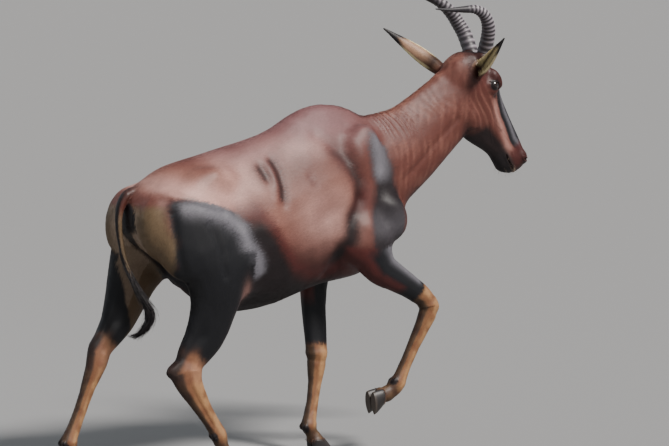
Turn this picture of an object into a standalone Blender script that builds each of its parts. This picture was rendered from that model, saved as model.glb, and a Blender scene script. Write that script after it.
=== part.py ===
"""A life-size still model of a walking topi antelope, in metres.

The animal faces -Y, its left side is +X and it stands on Z = 0. Body
stations are given as (ahead, left, up): ahead of the withers hump, left of
the spine plane, up from the ground.
"""
import math

import bmesh
import bpy
import numpy as np
from mathutils import Matrix, Vector

for old in list(bpy.data.objects):
    bpy.data.objects.remove(old, do_unlink=True)

WITHERS_AHEAD = 0.045  # withers hump ahead of the middle of the animal's length
SPINE_LEFT = 0.028  # spine plane left of the middle of the width, as the right ear is held out
GAP = 0.0004  # clearance between neighbouring nodes
BODY_GRAIN = 0.0085  # voxel of the joined flesh before it is thinned
HEAD_GRAIN = 0.005
BODY_TRIANGLES = 3600
HEAD_TRIANGLES = 1520
SMOOTHING_STEPS = 42
SHARP_ANGLE = math.radians(40)  # edges sharper than this stay creased in the shading

model = bpy.data.collections.new("topi_antelope")
helpers = bpy.data.collections.new("cutters")
for made in (model, helpers):
    bpy.context.scene.collection.children.link(made)


def colour(hex_code):
    """Linear RGBA of an sRGB hex colour."""
    channels = [int(hex_code[i : i + 2], 16) / 255 for i in (0, 2, 4)]
    return [c / 12.92 if c <= 0.04045 else ((c + 0.055) / 1.055) ** 2.4 for c in channels] + [1.0]


def material(name, hex_code, roughness):
    made = bpy.data.materials.new(name)
    made.use_nodes = True
    shader = made.node_tree.nodes["Principled BSDF"]
    shader.inputs["Base Color"].default_value = colour(hex_code)
    shader.inputs["Roughness"].default_value = roughness
    made.diffuse_color = colour(hex_code)
    return made


RED_COAT = material("red_brown_coat", "7A3B2C", 0.5)
NECK_COAT = material("neck_coat", "85422F", 0.5)
HEAD_COAT = material("head_coat", "6E3327", 0.5)
DARK_COAT = material("blue_black_coat", "24242C", 0.45)
TAN_COAT = material("tan_coat", "A8693A", 0.55)
EAR_COAT = material("ear_coat", "B08A68", 0.6)
BLACK_HAIR = material("black_hair", "17141A", 0.55)
HORN = material("horn", "2E2A2E", 0.4)
HOOF = material("hoof", "242020", 0.4)
EYE = material("eye", "120A08", 0.08)


def at(ahead, left, up):
    return Vector((left + SPINE_LEFT, -(ahead + WITHERS_AHEAD), up))


def link(name, mesh, collection, skin=None):
    obj = bpy.data.objects.new(name, mesh)
    collection.objects.link(obj)
    if skin:
        mesh.materials.clear()
        mesh.materials.append(skin)
    if collection is helpers:
        obj.hide_render = True
        obj.display_type = "WIRE"
    return obj


def spline(rows, per):
    """Rows of numbers run through a Catmull-Rom curve, `per` steps to a gap."""
    rows = np.array(rows, float)
    padded = np.vstack([2 * rows[0] - rows[1], rows, 2 * rows[-1] - rows[-2]])
    out = []
    for i in range(len(rows) - 1):
        a, b, c, d = padded[i : i + 4]
        for t in np.arange(per) / per:
            square = (2 * a - 5 * b + 4 * c - d) * t**2
            cube = (3 * b - a - 3 * c + d) * t**3
            out.append(0.5 * (2 * b + (c - a) * t + square + cube))
    return np.array(out + [rows[-1]])


def rings_mesh(name, rings):
    """A closed body through rings of equal point count, flat at both ends."""
    mesh = bpy.data.meshes.new(name)
    count = len(rings[0])
    points = [p for ring in rings for p in ring]
    faces = [list(range(count))[::-1], list(range(len(points) - count, len(points)))]
    for r in range(len(rings) - 1):
        for k in range(count):
            a, b = r * count + k, r * count + (k + 1) % count
            faces.append((a, b, b + count, a + count))
    mesh.from_pydata(points, [], faces)
    work = bmesh.new()
    work.from_mesh(mesh)
    bmesh.ops.recalc_face_normals(work, faces=work.faces)
    if work.calc_volume(signed=True) < 0:
        bmesh.ops.reverse_faces(work, faces=work.faces)
    work.to_mesh(mesh)
    work.free()
    return mesh


def limb(stations, per=3, around=16, upright=False):
    """A tube mesh. Each station: ahead, left, up, half width, half depth, narrowing of its upper side."""
    rows = spline([s if len(s) == 6 else (*s, 0.0) for s in stations], per)
    centres = [at(*row[:3]) for row in rows]
    across = Vector((1, 0, 0))
    rings, before = [], Vector((0, 0, 1))
    for i, row in enumerate(rows):
        half_width, half_depth, narrow = row[3:6]
        run = centres[min(i + 1, len(rows) - 1)] - centres[max(i - 1, 0)]
        run = Vector((0, run.y, 0)).normalized() if upright else run.normalized()
        side = (across - across.dot(run) * run).normalized()
        depth = side.cross(run)
        if depth.dot(before) < 0:
            depth = -depth
        before = depth
        ring = []
        for turn in np.arange(around) * 2 * math.pi / around:
            c, s = math.cos(turn), math.sin(turn)
            width = half_width * (1 - narrow * max(s, 0.0) ** 1.5)
            ring.append(centres[i] + side * width * c + depth * half_depth * s)
        rings.append(ring)
    return rings_mesh("tube", rings)


def unit_ball(frame, fineness):
    """A ball of radius 1 set in the given frame, its faces pointing out."""
    mesh = bpy.data.meshes.new("ball")
    work = bmesh.new()
    bmesh.ops.create_icosphere(work, subdivisions=fineness, radius=1, matrix=frame)
    if work.calc_volume(signed=True) < 0:
        bmesh.ops.reverse_faces(work, faces=work.faces)
    work.to_mesh(mesh)
    work.free()
    return mesh


def ball(centre, radii, tilt=0.0, fineness=3):
    """An ellipsoid mesh: radii ahead, left, up; tilt raises its front end, in degrees."""
    size = Matrix.Diagonal((radii[1], radii[0], radii[2], 1))
    turn = Matrix.Rotation(math.radians(-tilt), 4, "X")
    return unit_ball(Matrix.Translation(at(*centre)) @ turn @ size, fineness)


def join(meshes):
    work = bmesh.new()
    for mesh in meshes:
        work.from_mesh(mesh)
    out = bpy.data.meshes.new("joined")
    work.to_mesh(out)
    work.free()
    return out


def settled(obj):
    """The object's mesh with its modifiers applied, in place."""
    graph = bpy.context.evaluated_depsgraph_get()
    graph.update()
    mesh = bpy.data.meshes.new_from_object(obj.evaluated_get(graph))
    obj.modifiers.clear()
    obj.data = mesh
    return obj


def boolean(obj, other, operation):
    cut = obj.modifiers.new(operation.lower(), "BOOLEAN")
    cut.operation, cut.solver, cut.object = operation, "EXACT", other
    return settled(obj)


# ---- trunk: ahead, left, up of the middle, half width, half height, narrow top
def section(ahead, top, bottom, half_width, narrow):
    return (ahead, 0.0, (top + bottom) / 2, half_width, (top - bottom) / 2, narrow)


trunk_mass = limb(
    [
        section(0.300, 1.020, 0.760, 0.070, 0.2),
        section(0.250, 1.120, 0.690, 0.115, 0.3),
        section(0.160, 1.218, 0.634, 0.140, 0.45),
        section(0.070, 1.252, 0.618, 0.156, 0.60),
        section(-0.020, 1.256, 0.604, 0.169, 0.60),
        section(-0.110, 1.226, 0.577, 0.182, 0.50),
        section(-0.210, 1.166, 0.547, 0.193, 0.35),
        section(-0.320, 1.132, 0.531, 0.199, 0.25),
        section(-0.430, 1.106, 0.537, 0.196, 0.22),
        section(-0.530, 1.080, 0.600, 0.184, 0.22),
        section(-0.620, 1.058, 0.692, 0.171, 0.28),
        section(-0.700, 1.020, 0.760, 0.155, 0.32),
        section(-0.755, 0.980, 0.795, 0.115, 0.30),
        section(-0.785, 0.935, 0.830, 0.060, 0.20),
    ],
    around=28,
    upright=True,
)
neck_mass = limb(
    [
        (0.060, 0.0, 0.960, 0.120, 0.250, 0.45),
        (0.200, 0.0, 1.005, 0.112, 0.215, 0.45),
        (0.295, 0.0, 1.050, 0.092, 0.180, 0.42),
        (0.378, 0.0, 1.092, 0.076, 0.158, 0.38),
        (0.453, 0.0, 1.147, 0.066, 0.145, 0.34),
        (0.531, 0.0, 1.210, 0.062, 0.133, 0.30),
        (0.604, 0.0, 1.270, 0.060, 0.117, 0.25),
        (0.660, 0.0, 1.290, 0.050, 0.090, 0.20),
    ],
    around=20,
)

# ---- muscle and bone masses laid on the trunk
muscles = [
    ball((0.095, -0.088, 1.010), (0.095, 0.056, 0.190), tilt=-22),  # right shoulder blade
    ball((0.232, -0.110, 0.845), (0.074, 0.056, 0.092), tilt=20),  # right point of the shoulder
    ball((0.110, -0.128, 0.775), (0.130, 0.054, 0.105), tilt=-25),  # right triceps
    ball((0.060, 0.090, 1.010), (0.095, 0.056, 0.190), tilt=-10),  # left shoulder blade
    ball((0.195, 0.108, 0.835), (0.070, 0.055, 0.085)),  # left point of the shoulder
    ball((0.060, 0.126, 0.760), (0.105, 0.054, 0.110)),  # left triceps
    ball((0.290, 0.0, 0.886), (0.058, 0.080, 0.105), tilt=15),  # breast
    ball((-0.515, -0.098, 0.988), (0.115, 0.070, 0.070), tilt=12),  # right point of the hip
    ball((-0.515, 0.098, 0.988), (0.115, 0.070, 0.070), tilt=12),  # left point of the hip
    ball((-0.560, -0.118, 0.850), (0.175, 0.088, 0.155), tilt=-35),  # right thigh
    ball((-0.450, -0.148, 0.720), (0.075, 0.055, 0.125), tilt=-10),  # right front of the thigh
    ball((-0.685, -0.092, 0.855), (0.098, 0.072, 0.130), tilt=5),  # right buttock
    ball((-0.600, 0.110, 0.850), (0.165, 0.088, 0.160), tilt=-15),  # left thigh
    ball((-0.698, 0.098, 0.845), (0.107, 0.076, 0.145), tilt=0),  # left buttock
    ball((-0.400, -0.120, 0.660), (0.090, 0.050, 0.070), tilt=-20),  # right flank fold
    ball((-0.470, 0.125, 0.680), (0.090, 0.050, 0.080), tilt=-20),  # left flank fold
]

# ---- limbs: each an upper and a lower run with a knuckle where they bend
fore_left = [
    limb(
        [
            (0.085, 0.112, 0.830, 0.050, 0.105),
            (0.060, 0.116, 0.720, 0.055, 0.090),
            (0.050, 0.110, 0.630, 0.046, 0.065),
            (0.043, 0.102, 0.540, 0.037, 0.051),
            (0.041, 0.089, 0.450, 0.030, 0.047),
            (0.042, 0.082, 0.385, 0.029, 0.044),
            (0.042, 0.078, 0.345, 0.0305, 0.0405),
            (0.037, 0.074, 0.300, 0.0255, 0.0375),
            (0.028, 0.068, 0.245, 0.0185, 0.0290),
            (0.013, 0.060, 0.175, 0.0170, 0.0260),
            (-0.001, 0.055, 0.125, 0.0200, 0.0280),
            (-0.006, 0.052, 0.098, 0.0240, 0.0300),
            (0.003, 0.050, 0.068, 0.0235, 0.0250),
            (0.017, 0.048, 0.046, 0.0270, 0.0290),
            (0.023, 0.048, 0.030, 0.0260, 0.0280),
        ]
    ),
]
fore_right = [
    limb(
        [
            (0.150, -0.115, 0.830, 0.045, 0.110),
            (0.140, -0.122, 0.735, 0.052, 0.085),
            (0.185, -0.120, 0.668, 0.047, 0.068),
            (0.250, -0.113, 0.632, 0.040, 0.057),
            (0.320, -0.107, 0.592, 0.034, 0.047),
            (0.375, -0.102, 0.557, 0.030, 0.041),
            (0.412, -0.100, 0.530, 0.027, 0.030),
        ]
    ),
    ball((0.406, -0.100, 0.516), (0.043, 0.030, 0.040), tilt=-50),
    limb(
        [
            (0.410, -0.100, 0.540, 0.026, 0.024),
            (0.405, -0.099, 0.496, 0.029, 0.037),
            (0.381, -0.097, 0.445, 0.0235, 0.0315),
            (0.350, -0.094, 0.385, 0.0180, 0.0280),
            (0.318, -0.091, 0.320, 0.0170, 0.0260),
            (0.294, -0.088, 0.270, 0.0200, 0.0275),
            (0.281, -0.087, 0.243, 0.0240, 0.0305),
            (0.254, -0.085, 0.216, 0.0245, 0.0320),
            (0.231, -0.083, 0.206, 0.0270, 0.0320),
            (0.215, -0.082, 0.202, 0.0260, 0.0295),
        ]
    ),
]
hind_left = [
    limb(
        [
            (-0.620, 0.105, 0.860, 0.075, 0.150),
            (-0.645, 0.120, 0.750, 0.066, 0.132),
            (-0.686, 0.120, 0.665, 0.056, 0.106),
            (-0.722, 0.114, 0.585, 0.045, 0.085),
            (-0.758, 0.107, 0.508, 0.036, 0.066),
            (-0.805, 0.103, 0.448, 0.030, 0.049),
            (-0.836, 0.101, 0.410, 0.029, 0.044),
        ]
    ),
    ball((-0.849, 0.101, 0.426), (0.026, 0.020, 0.038), tilt=-20),
    limb(
        [
            (-0.824, 0.101, 0.430, 0.026, 0.036),
            (-0.836, 0.101, 0.395, 0.0300, 0.044),
            (-0.852, 0.100, 0.345, 0.0260, 0.037),
            (-0.876, 0.100, 0.290, 0.0200, 0.0290),
            (-0.905, 0.100, 0.215, 0.0175, 0.0255),
            (-0.938, 0.100, 0.140, 0.0195, 0.0275),
            (-0.954, 0.100, 0.104, 0.0240, 0.0305),
            (-0.944, 0.100, 0.072, 0.0235, 0.0250),
            (-0.930, 0.100, 0.048, 0.0270, 0.0290),
            (-0.922, 0.100, 0.030, 0.0260, 0.0280),
        ]
    ),
]
hind_right = [
    limb(
        [
            (-0.600, -0.115, 0.880, 0.080, 0.160),
            (-0.555, -0.135, 0.780, 0.078, 0.165),
            (-0.512, -0.142, 0.700, 0.070, 0.122),
            (-0.500, -0.138, 0.620, 0.060, 0.106),
            (-0.512, -0.128, 0.540, 0.048, 0.088),
            (-0.536, -0.118, 0.465, 0.038, 0.078),
            (-0.576, -0.110, 0.405, 0.031, 0.064),
            (-0.602, -0.105, 0.368, 0.028, 0.050),
        ]
    ),
    ball((-0.648, -0.106, 0.354), (0.040, 0.022, 0.026), tilt=25),
    limb(
        [
            (-0.610, -0.108, 0.385, 0.026, 0.044),
            (-0.606, -0.109, 0.348, 0.0305, 0.064),
            (-0.591, -0.110, 0.300, 0.0275, 0.052),
            (-0.561, -0.110, 0.250, 0.0225, 0.0415),
            (-0.530, -0.110, 0.200, 0.0190, 0.0335),
            (-0.500, -0.110, 0.155, 0.0200, 0.0305),
            (-0.480, -0.110, 0.124, 0.0240, 0.0310),
            (-0.467, -0.110, 0.092, 0.0235, 0.0260),
            (-0.458, -0.110, 0.062, 0.0270, 0.0290),
            (-0.453, -0.110, 0.046, 0.0260, 0.0280),
        ]
    ),
]

# ---- head: stations run from the back of the skull along the face
HEAD_BASE = (0.620, 0.0, 1.330)  # middle of the skull
FACE_SLOPE = 58.0  # degrees that the face dips below level
HEAD_ROLL = -3.0  # degrees; the right side hangs lower
face = Matrix.Rotation(math.radians(-FACE_SLOPE), 3, "X").inverted()
roll = Matrix.Rotation(math.radians(HEAD_ROLL), 3, "Y")


def on_head(along, left, out):
    """A point given along the face from the skull, left of its middle, and out of the face."""
    local = Vector((left, -along, out))
    return at(*HEAD_BASE) + roll @ (face @ local)


def head_axes():
    """Directions to the left, along the face and out of it."""
    return [(roll @ (face @ Vector(v))).normalized() for v in ((1, 0, 0), (0, -1, 0), (0, 0, 1))]


def head_section(along, top, bottom, half_width, narrow, around=20):
    side, _, out = head_axes()
    middle = on_head(along, 0, (top + bottom) / 2)
    ring = []
    for turn in np.arange(around) * 2 * math.pi / around:
        c, s = math.cos(turn), math.sin(turn)
        width = half_width * (1 - narrow * max(-s, 0.0) ** 1.5) * math.copysign(abs(c) ** 0.85, c)
        ring.append(middle + side * width + out * (top - bottom) / 2 * s)
    return ring


HEAD_STATIONS = [  # along, top, bottom, half width, narrowing of the jaw
    (-0.088, 0.035, -0.035, 0.034, 0.0),
    (-0.060, 0.078, -0.080, 0.056, 0.1),
    (-0.015, 0.103, -0.115, 0.065, 0.2),
    (0.040, 0.110, -0.124, 0.069, 0.3),
    (0.090, 0.108, -0.124, 0.066, 0.4),
    (0.150, 0.097, -0.119, 0.056, 0.45),
    (0.210, 0.0935, -0.104, 0.047, 0.45),
    (0.265, 0.091, -0.073, 0.041, 0.35),
    (0.310, 0.0895, -0.051, 0.038, 0.2),
    (0.352, 0.087, -0.048, 0.0385, 0.1),
    (0.385, 0.080, -0.042, 0.0370, 0.0),
    (0.408, 0.070, -0.024, 0.0320, 0.0),
    (0.424, 0.055, 0.000, 0.0200, 0.0),
]
head_mass = rings_mesh("head", [head_section(*row) for row in spline(HEAD_STATIONS, 3)])


def head_frame(centre, radii):
    """Placement of a unit shape on the head: radii along the face, left, out."""
    side, along, out = head_axes()
    size = Matrix((side * radii[1], along * radii[0], out * radii[2])).transposed().to_4x4()
    return Matrix.Translation(on_head(*centre)) @ size


def head_ball(centre, radii, fineness=3):
    return unit_ball(head_frame(centre, radii), fineness)


EYE_AT = (0.072, 0.0563, 0.064)  # along, left, out of the ball's middle
EYE_RADIUS = 0.0205
MOUTH_AT = (0.398, 0.0, -0.002)
MOUTH_SIZE = (0.120, 0.120, 0.0026)  # depth from the lips, width, height of the slit
NOSTRIL_AT = (0.408, 0.021, 0.062)
NOSTRIL_RADII = (0.012, 0.006, 0.009)
head_parts = [head_mass]
for left in (1, -1):
    head_parts += [
        head_ball((0.062, left * 0.046, 0.088), (0.044, 0.029, 0.027)),  # brow over the eye
        head_ball((0.074, left * 0.054, 0.055), (0.036, 0.020, 0.030)),  # eye socket
        head_ball((0.110, left * 0.040, -0.060), (0.072, 0.022, 0.050)),  # cheek muscle
        head_ball((0.384, left * 0.022, 0.058), (0.030, 0.019, 0.024)),  # nostril wing
        head_ball((-0.028, left * 0.042, 0.082), (0.034, 0.030, 0.030)),  # horn root
    ]

# ---- the joined flesh, once coarse for the body and once fine for the head
def softness(points):
    """How much the joined masses are smoothed: the trunk most, shins and face least."""
    ahead, up = -points[:, 1] - WITHERS_AHEAD, points[:, 2]
    body = np.clip((up - 0.50) / 0.15, 0.12, 1.0)
    return np.where(ahead > 0.56, np.clip(1 - (ahead - 0.56) / 0.06, 0.25, 1.0) * body, body)


def flesh_of(name, parts, voxel):
    """One smoothed skin round all the parts."""
    obj = link(name, join(parts), helpers)
    grain = obj.modifiers.new("grain", "REMESH")
    grain.mode, grain.voxel_size = "VOXEL", voxel
    settled(obj)
    points = np.empty(len(obj.data.vertices) * 3, np.float32)
    obj.data.vertices.foreach_get("co", points)
    values = softness(points.reshape(-1, 3))
    group = obj.vertex_groups.new(name="soft")
    for step in range(1, 11):
        chosen = np.nonzero(np.round(values * 10) == step)[0]
        group.add([int(i) for i in chosen], step / 10, "REPLACE")
    soft = obj.modifiers.new("soft", "SMOOTH")
    soft.vertex_group, soft.factor, soft.iterations = group.name, 0.5, SMOOTHING_STEPS
    return settled(obj)


def thinned(obj, triangles):
    thin = obj.modifiers.new("thin", "DECIMATE")
    faces = sum(len(p.vertices) - 2 for p in obj.data.polygons)
    thin.ratio, thin.use_collapse_triangulate = triangles / faces, True
    return settled(obj)


limbs = [*fore_left, *fore_right, *hind_left, *hind_right]
masses = [trunk_mass, neck_mass, *muscles, *limbs, *head_parts]
body_flesh = thinned(flesh_of("body_flesh", masses, BODY_GRAIN), BODY_TRIANGLES)
head_flesh = thinned(flesh_of("head_flesh", [neck_mass, *head_parts], HEAD_GRAIN), HEAD_TRIANGLES)


# ---- cutters: boxes whose faces part the flesh into named nodes
def box(name, middle, size, tilt=0.0):
    """A box: middle ahead/left/up, size ahead/left/up, tilt raises its front end."""
    mesh = bpy.data.meshes.new(name)
    work = bmesh.new()
    turn = Matrix.Rotation(math.radians(-tilt), 4, "X")
    place = Matrix.Translation(at(*middle)) @ turn @ Matrix.Diagonal((size[1], size[0], size[2], 1))
    bmesh.ops.create_cube(work, size=1, matrix=place)
    work.to_mesh(mesh)
    work.free()
    return link(name, mesh, helpers)


def copy_of(obj, name, collection, skin=None):
    return link(name, obj.data.copy(), collection, skin)


def grown(obj, by):
    """A copy of the object with its skin pushed out."""
    out = copy_of(obj, obj.name + "_grown", helpers)
    push = out.modifiers.new("push", "DISPLACE")
    push.strength, push.mid_level = by, 0.0
    return settled(out)


def part_off(flesh, name, cutter, skin):
    """Takes what lies in the cutter off the flesh, as its own node, with a gap to the rest."""
    piece = boolean(copy_of(flesh, name, model, skin), cutter, "INTERSECT")
    wider = copy_of(cutter, cutter.name + "_wide", helpers)
    middle = sum((v.co for v in wider.data.vertices), Vector()) / len(wider.data.vertices)
    for v in wider.data.vertices:
        v.co = v.co + (v.co - middle).normalized() * 3 * GAP
    boolean(flesh, wider, "DIFFERENCE")
    piece.data.materials.clear()
    piece.data.materials.append(skin)
    return piece


NECK_TILT = 32.0  # degrees that the cuts across the neck lean back from upright
head_zone = box("head_zone", (0.880, 0.0, 1.235), (0.560, 0.5, 0.80), tilt=NECK_TILT)
neck_zone = box("neck_zone", (0.610, 0.0, 1.170), (0.620, 0.4, 0.80), tilt=NECK_TILT - 8)
fore_left_low = box("fore_left_low", (0.030, 0.090, 0.170), (0.240, 0.160, 0.380))
fore_left_high = box("fore_left_high", (0.050, 0.110, 0.470), (0.260, 0.160, 0.220))
fore_right_low = box("fore_right_low", (0.310, -0.090, 0.280), (0.360, 0.180, 0.420), tilt=10)
fore_right_high = box("fore_right_high", (0.370, -0.115, 0.530), (0.300, 0.170, 0.240), tilt=-38)
hind_left_low = box("hind_left_low", (-0.930, 0.100, 0.170), (0.300, 0.180, 0.380))
hind_left_high = box("hind_left_high", (-0.780, 0.110, 0.460), (0.340, 0.190, 0.200))
hind_right_low = box("hind_right_low", (-0.500, -0.100, 0.150), (0.340, 0.180, 0.340))
hind_right_high = box("hind_right_high", (-0.590, -0.130, 0.422), (0.300, 0.180, 0.204))

neck = part_off(body_flesh, "neck", neck_zone, NECK_COAT)
boolean(neck, grown(head_zone, GAP), "DIFFERENCE")
head = boolean(copy_of(head_flesh, "head", model, HEAD_COAT), head_zone, "INTERSECT")
slit = link("mouth_slit", bpy.data.meshes.new("mouth_slit"), helpers)
work = bmesh.new()
bmesh.ops.create_cube(work, size=1, matrix=head_frame(MOUTH_AT, MOUTH_SIZE))
bmesh.ops.recalc_face_normals(work, faces=work.faces)
work.to_mesh(slit.data)
work.free()
boolean(head, slit, "DIFFERENCE")
for left in (1, -1):
    middle = (NOSTRIL_AT[0], left * NOSTRIL_AT[1], NOSTRIL_AT[2])
    pit = link("nostril_pit", head_ball(middle, NOSTRIL_RADII, fineness=1), helpers)
    boolean(head, pit, "DIFFERENCE")
legs = {}
for limb_name, low, high in (
    ("fore_left", fore_left_low, fore_left_high),
    ("fore_right", fore_right_low, fore_right_high),
    ("hind_left", hind_left_low, hind_left_high),
    ("hind_right", hind_right_low, hind_right_high),
):
    legs[limb_name] = part_off(body_flesh, "leg_" + limb_name + "_lower", low, TAN_COAT)
    part_off(body_flesh, "leg_" + limb_name + "_upper", high, DARK_COAT)
trunk = copy_of(body_flesh, "trunk", model, RED_COAT)

# ---- tail: a hanging dock, then a tuft of long hair swung to the right
tail_mass = limb(
    [
        (-0.735, 0.0, 0.985, 0.030, 0.026),
        (-0.775, 0.0, 0.975, 0.025, 0.022),
        (-0.802, 0.0, 0.940, 0.018, 0.017),
        (-0.810, 0.0, 0.870, 0.014, 0.013),
        (-0.802, -0.005, 0.790, 0.012, 0.012),
        (-0.790, -0.024, 0.715, 0.011, 0.012),
        (-0.775, -0.056, 0.655, 0.012, 0.015),
        (-0.758, -0.082, 0.608, 0.014, 0.020),
        (-0.740, -0.098, 0.565, 0.018, 0.027),
        (-0.742, -0.098, 0.525, 0.018, 0.027),
        (-0.768, -0.086, 0.490, 0.011, 0.017),
        (-0.800, -0.066, 0.468, 0.005, 0.008),
    ],
    per=2,
    around=8,
)
tail = link("tail", tail_mass, model, BLACK_HAIR)
boolean(tail, grown(trunk, GAP), "DIFFERENCE")

# ---- ears: cupped leaves, the left one laid back and the right one held out
EAR_THICK = 0.0045  # at the root; the edge at the tip is 0.4 of it
EAR_ROWS = (  # share of the length, half width, half angle of the cup, bow of the back
    (-0.04, 0.017, 100, 0.000),
    (0.10, 0.023, 95, 0.004),
    (0.25, 0.028, 85, 0.008),
    (0.42, 0.028, 72, 0.010),
    (0.60, 0.022, 62, 0.008),
    (0.78, 0.0135, 55, 0.004),
    (0.92, 0.006, 45, 0.001),
    (1.00, 0.0025, 40, 0.000),
)


def ear(name, root, tip, opening):
    """A leaf from root to tip, its hollow facing the opening direction (ahead, left, up)."""
    start, end = at(*root), at(*tip)
    run = (end - start).normalized()
    facing = Vector((opening[1], -opening[0], opening[2]))
    facing = (facing - facing.dot(run) * run).normalized()
    side = run.cross(facing)
    rings = []
    for share, half_width, half_arc, bow in EAR_ROWS:
        arc = math.radians(half_arc)
        bend = half_width / math.sin(min(arc, math.pi / 2))
        thick = EAR_THICK * (1 - 0.6 * max(share, 0))
        sides = ((bend + thick / 2, np.linspace(-arc, arc, 9)), (bend - thick / 2, np.linspace(arc, -arc, 9)))
        ring = []
        for radius, turns in sides:
            for turn in turns:
                inward = facing * (bend - bow - radius * math.cos(turn))
                ring.append(start + (end - start) * share + inward + side * radius * math.sin(turn))
        rings.append(ring)
    leaf = link(name, rings_mesh(name, rings), model, EAR_COAT)
    return boolean(leaf, grown(head, GAP), "DIFFERENCE")


ear("ear_left", (0.587, 0.055, 1.344), (0.381, 0.172, 1.508), (0.10, 0.90, -0.10))
ear("ear_right", (0.657, -0.050, 1.334), (0.629, -0.252, 1.481), (-0.70, -0.20, 0.30))

# ---- horns: up from the poll, then back, ringed but for the tips
HORN_RINGS = 9
HORN_ROOT = (0.682, 0.043, 1.414)  # ahead, out to its own side, up
RINGED = (0.12, 0.75)  # the share of the horn's length that carries rings
RING_HEIGHT = 0.0018
HORN_ROWS = {  # out, back, up from the root, radius
    "right": (
        (-0.004, -0.004, -0.030, 0.0270),
        (0.000, 0.000, 0.000, 0.0275),
        (0.026, 0.002, 0.060, 0.0262),
        (0.043, 0.012, 0.104, 0.0245),
        (0.050, 0.034, 0.142, 0.0215),
        (0.053, 0.074, 0.163, 0.0165),
        (0.055, 0.130, 0.164, 0.0120),
        (0.057, 0.190, 0.164, 0.0068),
        (0.058, 0.249, 0.168, 0.0022),
    ),
    "left": (
        (-0.004, -0.004, -0.030, 0.0270),
        (0.000, 0.000, 0.000, 0.0280),
        (0.030, 0.008, 0.065, 0.0275),
        (0.045, 0.026, 0.106, 0.0262),
        (0.051, 0.051, 0.143, 0.0245),
        (0.054, 0.095, 0.180, 0.0200),
        (0.056, 0.150, 0.203, 0.0140),
        (0.057, 0.205, 0.216, 0.0080),
        (0.058, 0.262, 0.226, 0.0022),
    ),
}


def horn(side_name, left):
    rows = spline(HORN_ROWS[side_name], 4)
    points = [at(HORN_ROOT[0] - r[1], left * (HORN_ROOT[1] + r[0]), HORN_ROOT[2] + r[2]) for r in rows]
    rings = []
    for i, row in enumerate(rows):
        run = (points[min(i + 1, len(rows) - 1)] - points[max(i - 1, 0)]).normalized()
        side = (Vector((1, 0, 0)) - run.x * run).normalized()
        out = side.cross(run)
        share = i / (len(rows) - 1)
        wave = math.cos(share / RINGED[1] * HORN_RINGS * 2 * math.pi)
        ridge = RING_HEIGHT * wave if RINGED[0] < share < RINGED[1] else 0.0
        turns = np.arange(8) * math.pi / 4
        rings.append([points[i] + (side * math.cos(t) + out * math.sin(t)) * (row[3] + ridge) for t in turns])
    name = "horn_" + side_name
    made = link(name, rings_mesh(name, rings), model, HORN)
    return boolean(made, grown(head, GAP), "DIFFERENCE")


horn("left", 1)
horn("right", -1)

# ---- eyes: whole balls set in sockets cut for them
def eyeball(name, left, radius, collection):
    mesh = bpy.data.meshes.new(name)
    work = bmesh.new()
    place = Matrix.Translation(on_head(EYE_AT[0], left * EYE_AT[1], EYE_AT[2]))
    bmesh.ops.create_uvsphere(work, u_segments=12, v_segments=8, radius=radius, matrix=place)
    work.to_mesh(mesh)
    work.free()
    return link(name, mesh, collection, EYE)


for side_name, left in (("left", 1), ("right", -1)):
    eyeball("eye_" + side_name, left, EYE_RADIUS, model)
    boolean(head, eyeball("socket_" + side_name, left, EYE_RADIUS + GAP, helpers), "DIFFERENCE")

# ---- hooves: two pointed claws to a foot, flat where they meet the ground
CLAW_LENGTH, CLAW_WIDTH, CLAW_HEIGHT = 0.082, 0.033, 0.046
CLAW_SPREAD = 0.0185  # middle of each claw from the middle of the foot
CLAW_ROWS = (  # share of the height, length and width as shares of the sole's, slide ahead
    (0.0, 1.00, 1.00, 0.016),
    (0.30, 0.96, 1.00, 0.012),
    (0.70, 0.80, 0.95, 0.004),
    (1.0, 0.66, 0.88, -0.002),
)


def claw(name, foot, pitch, sideways, collection, grow=0.0):
    """A claw whose coronet is centred over `foot`; pitch turns the toe down."""
    turn = Matrix.Rotation(math.radians(pitch), 3, "X")
    rings = []
    for up, length, width, shift in CLAW_ROWS:
        past = grow if up == 1.0 else -grow if up == 0.0 else 0.0
        ring = []
        for t in np.arange(12) * 2 * math.pi / 12:
            ahead = (CLAW_LENGTH / 2 * length + grow) * math.sin(t) + shift
            taper = 1 - 0.42 * max(math.sin(t), 0) ** 2
            across = (CLAW_WIDTH / 2 * width + grow) * math.cos(t) * taper
            height = (up - 1) * CLAW_HEIGHT + past
            ring.append(at(*foot) + turn @ Vector((sideways * CLAW_SPREAD + across, -ahead, height)))
        rings.append(ring)
    return link(name, rings_mesh(name, rings), collection, HOOF)


ground = box("ground", (0.0, 0.0, -0.500), (4.0, 2.0, 1.0))
FEET = {  # middle of the coronet, turn of the toe down in degrees
    "fore_left": ((0.023, 0.048, CLAW_HEIGHT), 0.0),
    "fore_right": ((0.214, -0.082, 0.199), 85.0),
    "hind_left": ((-0.920, 0.100, CLAW_HEIGHT), 0.0),
    "hind_right": ((-0.454, -0.110, 0.0600), 22.0),
}
for limb_name, (foot, pitch) in FEET.items():
    outward = 1 if foot[1] > 0 else -1
    for side_name, sideways in (("inner", -outward), ("outer", outward)):
        name = "hoof_" + limb_name + "_" + side_name
        made = claw(name, foot, pitch, sideways, model)
        if limb_name == "hind_right":
            boolean(made, ground, "DIFFERENCE")
        socket = claw("bed_" + name, foot, pitch, sideways, helpers, grow=GAP)
        boolean(legs[limb_name], socket, "DIFFERENCE")

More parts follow.
